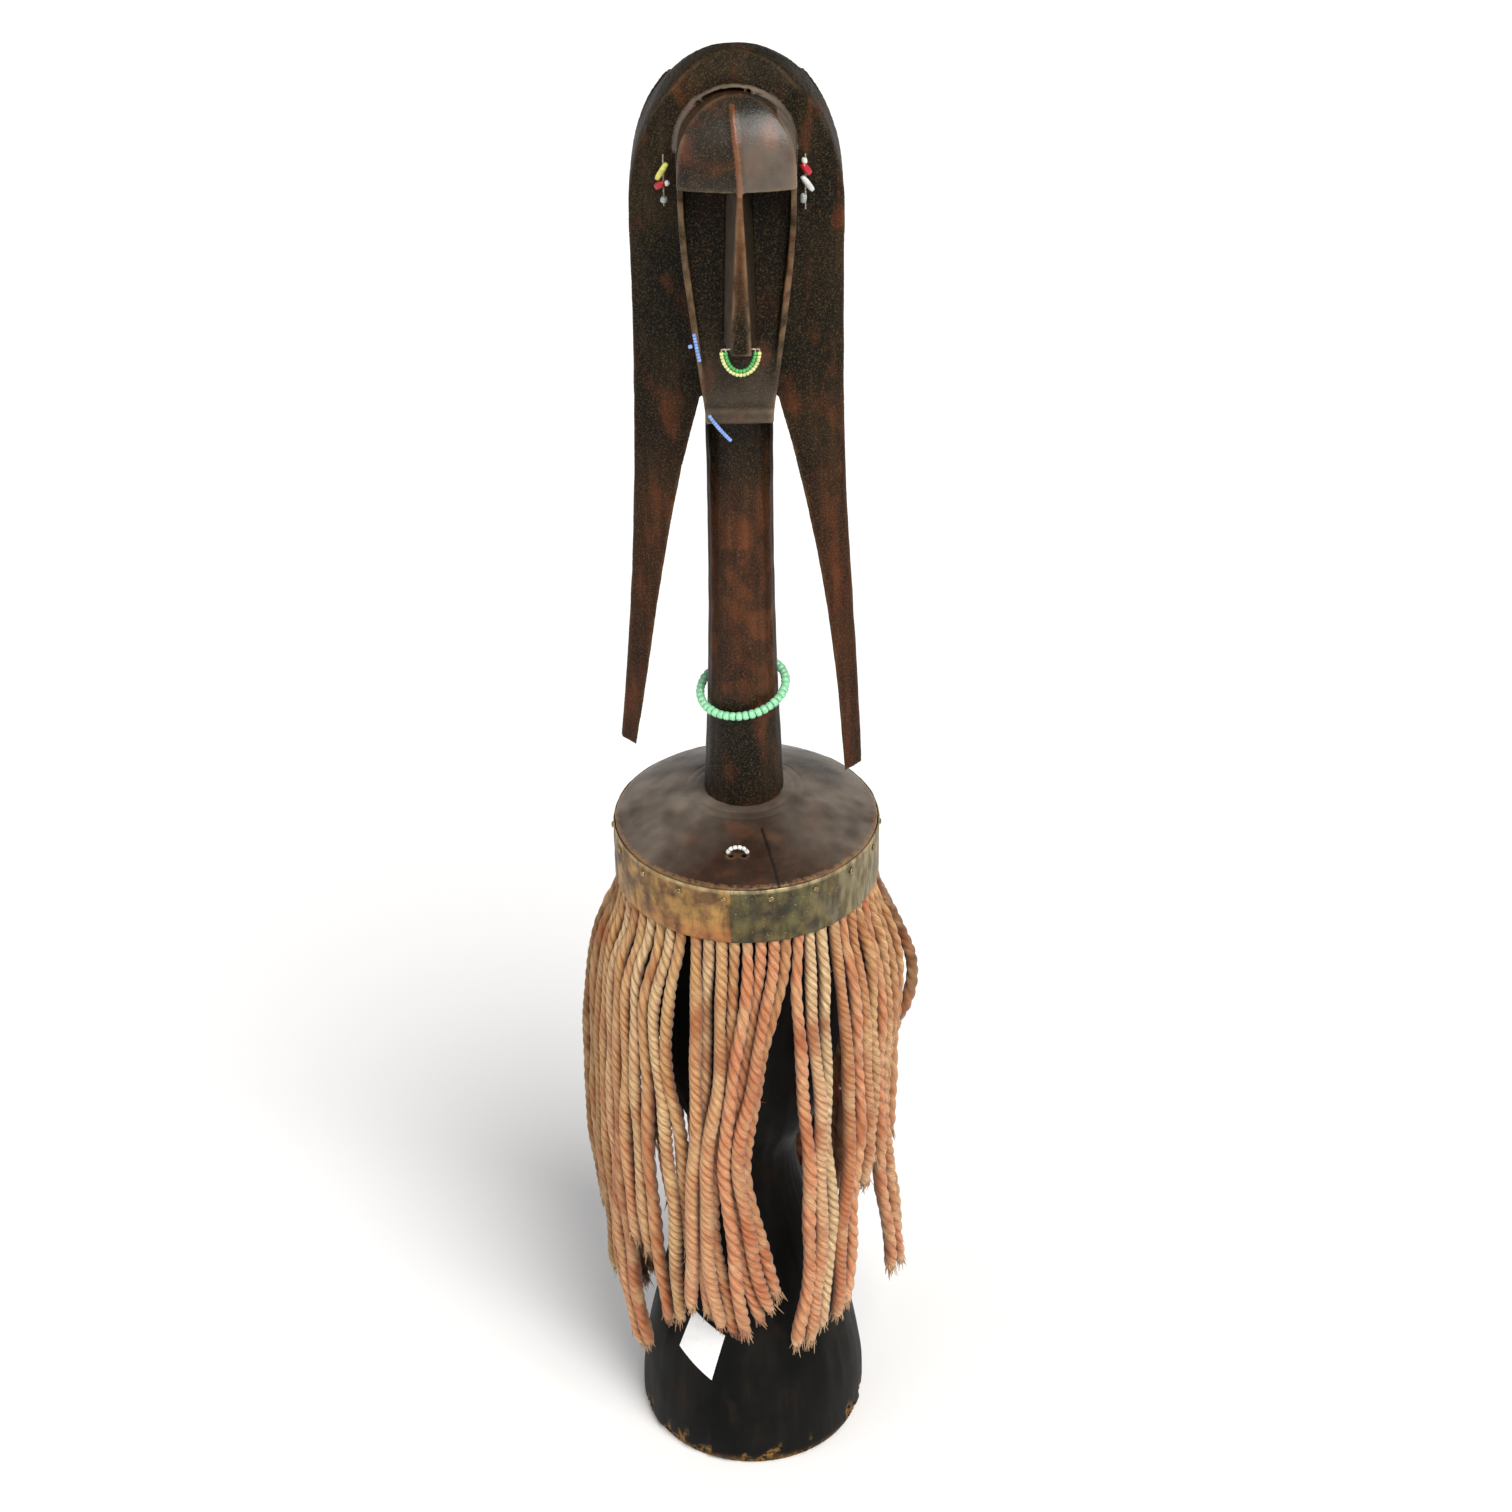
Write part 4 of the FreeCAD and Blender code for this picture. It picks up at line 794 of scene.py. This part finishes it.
BAND_THICKNESS = 0.0012
BAND_HEIGHT = 0.028
LAP_ANGLE = -7.0
LAP_COLUMNS = 14
BAND_MIDDLE = 0.0588
BAND_COLUMNS = 900
BAND_ROWS = 26
TARNISH_FROM, TARNISH_FULL = 60, 100
SHINE_ANGLE, SHINE_REACH = 285, 45


def band_marks(share, inner, turned):
    """Tarnish, scorch and a painted highlight at a height and at an angle turned from the lap."""
    climb = (turned - TARNISH_FROM) / (TARNISH_FULL - TARNISH_FROM)
    tarnish = 1.0 if TARNISH_FULL < turned < 360 else max(0.0, climb)
    scorch = max(0.0, 1 - share * 2.2) * max(0.0, 1 - turned / 60) if turned < 360 else 0.0
    # Painted highlight: a light line along the outer top edge, and a lighter stretch round SHINE_ANGLE on
    # the side the light comes from.
    upper_edge_highlight = 0.9 * (share > 0.95) * (not inner)
    shine = 0.7 * max(0.0, 1 - abs(turned - SHINE_ANGLE) / SHINE_REACH)
    return tarnish, scorch, max(upper_edge_highlight, shine)


def rim_band():
    outer = DISC_RADIUS + BAND_THICKNESS
    points, faces, marks = [], [], []
    profile = [(0.0, row / BAND_ROWS) for row in range(BAND_ROWS + 1)]
    profile += [(1.0, row / BAND_ROWS) for row in (BAND_ROWS, BAND_ROWS / 2, 0)]
    for column in range(BAND_COLUMNS + 1):
        angle = LAP_ANGLE - 360.0 * column / BAND_COLUMNS
        turned = (-(angle - LAP_ANGLE)) % 360
        tuck = 0.0003 * min(1.0, column / BAND_COLUMNS * 12) if column < BAND_COLUMNS else 0.0
        lap = 0.0002 * max(0.0, 1 - (BAND_COLUMNS - column) / LAP_COLUMNS)
        for inner, share in profile:
            spot = around(angle, BAND_MIDDLE, BAND_BOTTOM + share * BAND_HEIGHT)
            dent = noise.fractal(spot / 0.013, 0.6, 2.0, 3) * 0.00028 - 0.0002
            ripple = noise.noise(spot / 0.02 + Vector((7, 0, 0))) * 0.0004
            height = BAND_BOTTOM + 0.0003 + share * (BAND_HEIGHT - 0.0006) + ripple * (share - 0.5)
            radius = DISC_RADIUS - 0.0001 if inner else outer - 0.00035 + dent - tuck + lap
            roll = 0.00025 * (share in (0.0, 1.0)) * (not inner)
            points.append(around(angle, radius - roll, height))
            marks.append(band_marks(share, inner, turned))
    width = len(profile)
    for column in range(BAND_COLUMNS):
        for row in range(width):
            after = (row + 1) % width
            here, there = column * width, (column + 1) * width
            faces.append((here + row, there + row, there + after, here + after))
    faces.append(tuple(range(width)))
    faces.append(tuple(BAND_COLUMNS * width + row for row in reversed(range(width))))
    mesh = bpy.data.meshes.new("band")
    mesh.from_pydata(points, [], faces)
    for mark, values in zip(("tarnish", "scorch", "rubbed_and_highlight"), zip(*marks)):
        mesh.attributes.new(mark, "FLOAT", "POINT").data.foreach_set("value", values)
    mesh.shade_smooth()
    piece = bpy.data.objects.new("band", mesh)
    bpy.context.scene.collection.objects.link(piece)
    return piece


def band_look():
    look = Look("tarnished_brass", Specular_IOR_Level=0.4)
    blotch = look.noise(120, 5.0)
    streak = look.noise(1.0, 4.0, (260, 260, 70))
    fine = look.noise(900, 3.0)
    ochre = look.mix(look.span(blotch, 0.4, 0.62), rgb(104, 72, 38), rgb(178, 136, 76))
    ochre = look.mix(look.sum("MULTIPLY", look.read("scorch"), 0.6), ochre, rgb(176, 96, 50))
    olive = look.mix(look.span(blotch, 0.38, 0.64), rgb(46, 39, 22), rgb(108, 95, 56))
    olive = look.mix(look.span(look.noise(75, 4.0), 0.5, 0.7, 0, 0.45), olive, rgb(92, 96, 64))
    tone = look.mix(look.read("tarnish"), ochre, olive)
    tone = look.mix(look.span(streak, 0.45, 0.7, 0, 0.6), tone, rgb(42, 32, 22))
    # Painted highlight: the band is lightened where band_marks sets its highlight.
    light = look.sum("MULTIPLY", look.read("rubbed_and_highlight"), look.span(streak, 0.4, 0.6, 1.0, 0.35))
    tone = look.mix(light, tone, rgb(172, 156, 118))
    tone = look.mix(look.span(fine, 0.64, 0.76, 0, 0.6), tone, rgb(186, 164, 110))
    metal = look.span(blotch, 0.4, 0.7, 0.15, 0.5)
    look.feed(look.shader.inputs["Metallic"], metal)
    height = look.sum("ADD", look.sum("MULTIPLY", blotch, 0.8), look.sum("MULTIPLY", fine, 0.2))
    rough = look.span(streak, 0.3, 0.7, 0.42, 0.68)
    return look.finish(tone, rough, look.relief(height, 0.0005, 0.8))


band = rim_band()
band.data.materials.append(band_look())
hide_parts("rim_band")
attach(band, "figure")


TACK_COUNT = 18
TACK_Z = 0.344
TACK_RADIUS = 0.0015
TACK_RISE = 0.0008
TACK_TONE = rgb(176, 152, 108)


def metal_look():
    look = Look("rubbed_tacks", Metallic=0.85)
    grime = look.noise(1500, 3.0)
    tone = look.mix(look.span(grime, 0.4, 0.65), TACK_TONE, rgb(84, 66, 40))
    return look.finish(tone, look.span(grime, 0.3, 0.7, 0.35, 0.6), look.relief(grime, 0.0002, 0.6))


def dome(bundle, centre, outward, radius, rise, colour):
    """A low round head lying on a surface that faces outward."""
    outward = Vector(outward).normalized()
    side = outward.orthogonal().normalized()
    up = outward.cross(side)
    points, faces = [], []
    rings, sides = 5, 14
    for ring in range(rings):
        lean = ring / (rings - 1) * math.pi / 2 * 0.96
        for step in range(sides):
            turn = 2 * math.pi * step / sides
            flat = side * math.cos(turn) + up * math.sin(turn)
            spot = Vector(centre) + flat * (radius * math.cos(lean))
            points.append(spot + outward * (rise * math.sin(lean)))
    for ring in range(rings - 1):
        for step in range(sides):
            after = (step + 1) % sides
            faces.append((ring * sides + step, ring * sides + after,
                          (ring + 1) * sides + after, (ring + 1) * sides + step))
    faces.append(tuple((rings - 1) * sides + step for step in range(sides)))
    faces.append(tuple(reversed(range(sides))))
    uvs = [(0.0, 0.0)] * sum(len(face) for face in faces)
    colours = np.tile(np.array(colour), (len(points), 1))
    bundle.add([tuple(point) for point in points], faces, uvs, colours)


tack_heads = Bundle()
for step in range(TACK_COUNT):
    angle = (step + 0.5) * 360.0 / TACK_COUNT
    seat = around(angle, DISC_RADIUS + BAND_THICKNESS - 0.0006, TACK_Z)
    dome(tack_heads, seat, around(angle, 1.0, 0.0), TACK_RADIUS, TACK_RISE, TACK_TONE)
tacks = tack_heads.build("tack_heads", metal_look())
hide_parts("band_tacks")
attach(tacks, "figure")


# Bead ornaments.

def bead_look():
    look = Look("opaque_glass", Specular_IOR_Level=0.5, Coat_Weight=0.3, Coat_Roughness=0.12)
    cloud = look.noise(700, 3.0)
    tone = look.mix(look.span(cloud, 0.4, 0.7, 0.0, 0.35), look.read_colour("tone"), rgb(60, 52, 40))
    return look.finish(tone, look.span(cloud, 0.3, 0.7, 0.22, 0.45), look.relief(cloud, 0.0001, 0.4))


glass = bead_look()
MINT = rgb(158, 232, 182)
GREEN = rgb(66, 176, 84)
LIME = rgb(222, 226, 150)
BLUE = rgb(132, 168, 236)
WHITE = rgb(232, 234, 230)
RED = rgb(190, 24, 42)
YELLOW = rgb(232, 226, 110)
GREY = rgb(172, 176, 172)
BEAD_SIDES = 14
BEAD_PROFILE = [(0.30, -0.46), (0.62, -0.50), (0.86, -0.40), (0.98, -0.20), (1.0, 0.0),
                (0.98, 0.20), (0.86, 0.40), (0.62, 0.50), (0.30, 0.46), (0.24, 0.0)]


def add_bead(bundle, centre, direction, diameter, length, tone, rng=None):
    """A rounded bead with a hole through it, a touch uneven when rng is given."""
    direction = Vector(direction).normalized()
    if rng is not None:
        diameter *= rng.uniform(0.92, 1.03)
        direction = (direction + Vector([rng.gauss(0, 0.07) for _ in range(3)])).normalized()
    side = direction.orthogonal().normalized()
    up = direction.cross(side)
    points, faces = [], []
    for reach, shift in BEAD_PROFILE:
        for step in range(BEAD_SIDES):
            turn = 2 * math.pi * step / BEAD_SIDES
            flat = side * math.cos(turn) + up * math.sin(turn)
            spot = Vector(centre) + flat * (reach * diameter / 2)
            points.append(tuple(spot + direction * (shift * length)))
    rings = len(BEAD_PROFILE)
    for ring in range(rings):
        for step in range(BEAD_SIDES):
            after, ahead = (step + 1) % BEAD_SIDES, (ring + 1) % rings
            faces.append((ring * BEAD_SIDES + step, ring * BEAD_SIDES + after,
                          ahead * BEAD_SIDES + after, ahead * BEAD_SIDES + step))
    uvs = [(0.0, 0.0)] * (4 * len(faces))
    bundle.add(points, faces, uvs, np.tile(np.array(tone), (len(points), 1)))


def bead_piece(name, bundle, node, body):
    piece = bundle.build(name, glass)
    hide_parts(node)
    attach(piece, body)
    return piece


bead_rng = random.Random(11)
BEAD_FILL = 0.94

NECK_LOOP_RADIUS = 0.0187
NECK_LOOP_Z = 0.412
NECK_LOOP_TILT = 15.0
NECK_LOOP_LOW_ANGLE = -40.0
NECK_BEADS = 42
NECK_BEAD_DIAMETER = 0.004
NECK_BEAD_LENGTH = 0.0027
loop_low = around(NECK_LOOP_LOW_ANGLE, 1.0, 0)
loop_tilt = math.radians(NECK_LOOP_TILT)
loop_axis = (loop_low * math.sin(loop_tilt) + Vector((0, 0, math.cos(loop_tilt)))).normalized()
loop_centre = Vector((HEAD_X, NECK_Y, NECK_LOOP_Z))
loop_side = loop_axis.orthogonal().normalized()
loop_up = loop_axis.cross(loop_side)
neck_beads = Bundle()
for step in range(NECK_BEADS):
    turn = 2 * math.pi * (step + 0.5) / NECK_BEADS
    out = loop_side * math.cos(turn) + loop_up * math.sin(turn)
    add_bead(neck_beads, loop_centre + out * NECK_LOOP_RADIUS, loop_axis.cross(out),
             NECK_BEAD_DIAMETER, NECK_BEAD_LENGTH, MINT, bead_rng)
bead_piece("neck_string_beads", neck_beads, "neck_beads", "neck_string")


def beads_along(bundle, line, count, diameter, tone):
    """Beads strung close together along a line."""
    distance = frames_along(line)[0]
    pitch = distance[-1] / count
    for step in range(count):
        spots = [[np.interp((step + share) * pitch, distance, line[:, axis]) for axis in range(3)]
                 for share in (0.0, 0.5, 1.0)]
        direction = np.subtract(spots[2], spots[0])
        add_bead(bundle, spots[1], direction, diameter, pitch * BEAD_FILL, tone, bead_rng)


SMALL_BEAD = 0.0016
NOSE_CENTRE = np.array((0, -0.0435, 0.5929))
NOSE_LOOP_STRETCH = 0.0025
NOSE_ROWS = (("green", 0.0057, 15, GREEN), ("cream", 0.0073, 19, LIME))
half_turn = np.linspace(math.pi, 2 * math.pi, 60)
for colour, radius, count, tone in NOSE_ROWS:
    row = Bundle()
    loop = np.stack([radius * np.cos(half_turn), 0 * half_turn,
                     (radius + NOSE_LOOP_STRETCH) * np.sin(half_turn)], axis=1)
    beads_along(row, NOSE_CENTRE + loop, count, SMALL_BEAD, tone)
    bead_piece(f"nose_row_{colour}", row, f"nose_beads_{colour}", "nose_ring")

EAR_Z = 0.6605
EAR_Y = -0.0155
EAR_DROPS = {
    # hook's x, then (sideways, height below the hook, lean from upright, length, diameter, colour)
    "left": (-0.0286, [
        (-0.0006, 0.0050, 32, 0.0076, 0.0024, YELLOW), (-0.0014, 0.0105, 62, 0.0042, 0.0030, RED),
        (0.0013, 0.0098, 50, 0.0020, 0.0022, WHITE), (0.0000, 0.0165, 15, 0.0024, 0.0028, GREY)]),
    "right": (0.0256, [
        (-0.0004, 0.0014, -12, 0.0022, 0.0023, WHITE), (0.0002, 0.0047, -38, 0.0052, 0.0031, RED),
        (0.0008, 0.0106, -36, 0.0072, 0.0024, WHITE), (-0.0008, 0.0166, 8, 0.0036, 0.0027, GREY)]),
}
for label, (hook_x, beads) in EAR_DROPS.items():
    drop = Bundle()
    for shift, fall, lean, length, diameter, tone in beads:
        tilt = math.radians(lean)
        add_bead(drop, (hook_x + shift, EAR_Y, EAR_Z - fall), (math.sin(tilt), 0, math.cos(tilt)),
                 diameter, length, tone)
    bead_piece(f"{label}_drop_beads", drop, f"{label}_ear_beads", f"{label}_ear_drop")

CHIN_RUNS = (
    (9, [(-0.0179, -0.0340, 0.5963), (-0.0170, -0.0345, 0.5905), (-0.0159, -0.0349, 0.5848)]),
    (12, [(-0.0126, -0.0377, 0.5630), (-0.0090, -0.0374, 0.5568), (-0.0042, -0.0345, 0.5503)]),
)
chin_strand = Bundle()
add_bead(chin_strand, (-0.0194, -0.0338, 0.5908), (1, 0, 0.3), SMALL_BEAD, 0.0016, BLUE)
for count, route in CHIN_RUNS:
    beads_along(chin_strand, route_line(route), count, SMALL_BEAD, BLUE)
bead_piece("chin_strand_beads", chin_strand, "chin_bead_strand", "figure")

DISC_TOP = 0.362
DISC_RISE = 0.013
CHEST = around(-5.5, 0.0415, 0)
CHEST_BEADS = 6
CHEST_BEAD_DIAMETER = 0.0020
CHEST_ARC = ((-0.0044, 0, 0), (-0.0034, -0.0004, 0.0026), (0, -0.0008, 0.0038),
             (0.0034, -0.0004, 0.0026), (0.0044, 0, 0))
dome_radius = (DISC_RADIUS ** 2 + DISC_RISE ** 2) / (2 * DISC_RISE)
dome_drop = dome_radius - math.sqrt(dome_radius ** 2 - CHEST.x ** 2 - CHEST.y ** 2)
chest_foot = Vector((CHEST.x, CHEST.y, DISC_TOP - dome_drop + 0.0009))
chest_loop = Bundle()
chest_route = [chest_foot + Vector(shift) for shift in CHEST_ARC]
beads_along(chest_loop, route_line(chest_route), CHEST_BEADS, CHEST_BEAD_DIAMETER, WHITE)
bead_piece("chest_loop_beads", chest_loop, "chest_bead_loop", "figure")


# Threads, hidden tie cord and paper label: CAD pieces that keep their shape and get a material.

def thread_look(name, tone):
    look = Look(name, Sheen_Weight=0.15, Specular_IOR_Level=0.2)
    twist = look.noise(1800, 3.0)
    colour = look.mix(look.span(twist, 0.35, 0.65), tone, rgb(96, 84, 64))
    return look.finish(colour, 0.85, look.relief(twist, 0.0002, 0.6))


def paper_look():
    look = Look("plain_paper", Specular_IOR_Level=0.2)
    cloud = look.noise(140, 4.0)
    fibre = look.noise(2500, 2.0)
    stained = look.span(cloud, 0.5, 0.75, 0, 0.35)
    colour = look.mix(stained, (0.93, 0.93, 0.92, 1), rgb(226, 220, 204))
    return look.finish(colour, 0.9, look.relief(fibre, 0.0001, 0.4))


def dress(node, material):
    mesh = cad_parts[node].data
    mesh.materials.clear()
    mesh.materials.append(material)


bead_thread = thread_look("waxed_thread", rgb(196, 186, 160))
for node in ("neck_thread", "nose_ring_thread", "left_ear_thread", "right_ear_thread"):
    dress(node, bead_thread)
dress("skirt_tie_cord", thread_look("tie_cord", rgb(150, 120, 80)))
dress("paper_label", paper_look())


# Stage: a plain pale floor, soft studio light.

def floor():
    mesh = bpy.data.meshes.new("floor")
    mesh.from_pydata([(-8, -8, 0), (8, -8, 0), (8, 14, 0), (-8, 14, 0)], [], [(0, 1, 2, 3)])
    piece = bpy.data.objects.new("floor", mesh)
    bpy.context.scene.collection.objects.link(piece)
    look = Look("pale_floor", Specular_IOR_Level=0.1)
    cloud = look.noise(3, 2.0)
    tone = look.mix(cloud, (0.95, 0.95, 0.95, 1), (0.97, 0.97, 0.97, 1))
    mesh.materials.append(look.finish(tone, 0.9))
    return piece


floor()


def sun(name, towards, energy, spread, colour):
    light = bpy.data.lights.new(name, "SUN")
    light.energy = energy
    light.angle = math.radians(spread)
    light.color = colour
    lamp = bpy.data.objects.new(name, light)
    lamp.rotation_mode = "QUATERNION"
    lamp.rotation_quaternion = Vector(towards).to_track_quat("-Z", "Y")
    bpy.context.scene.collection.objects.link(lamp)


sun("key", (-0.35, 0.62, -0.85), 2.95, 34, (1.0, 0.98, 0.95))
sun("fill", (0.8, 0.55, -0.45), 0.6, 60, (0.95, 0.97, 1.0))
world = bpy.data.worlds.new("studio")
world.use_nodes = True
background = world.node_tree.nodes["Background"]
background.inputs["Color"].default_value = (1.0, 1.0, 1.0, 1.0)
background.inputs["Strength"].default_value = 0.38
bpy.context.scene.world = world
bpy.context.scene.view_settings.view_transform = "Standard"
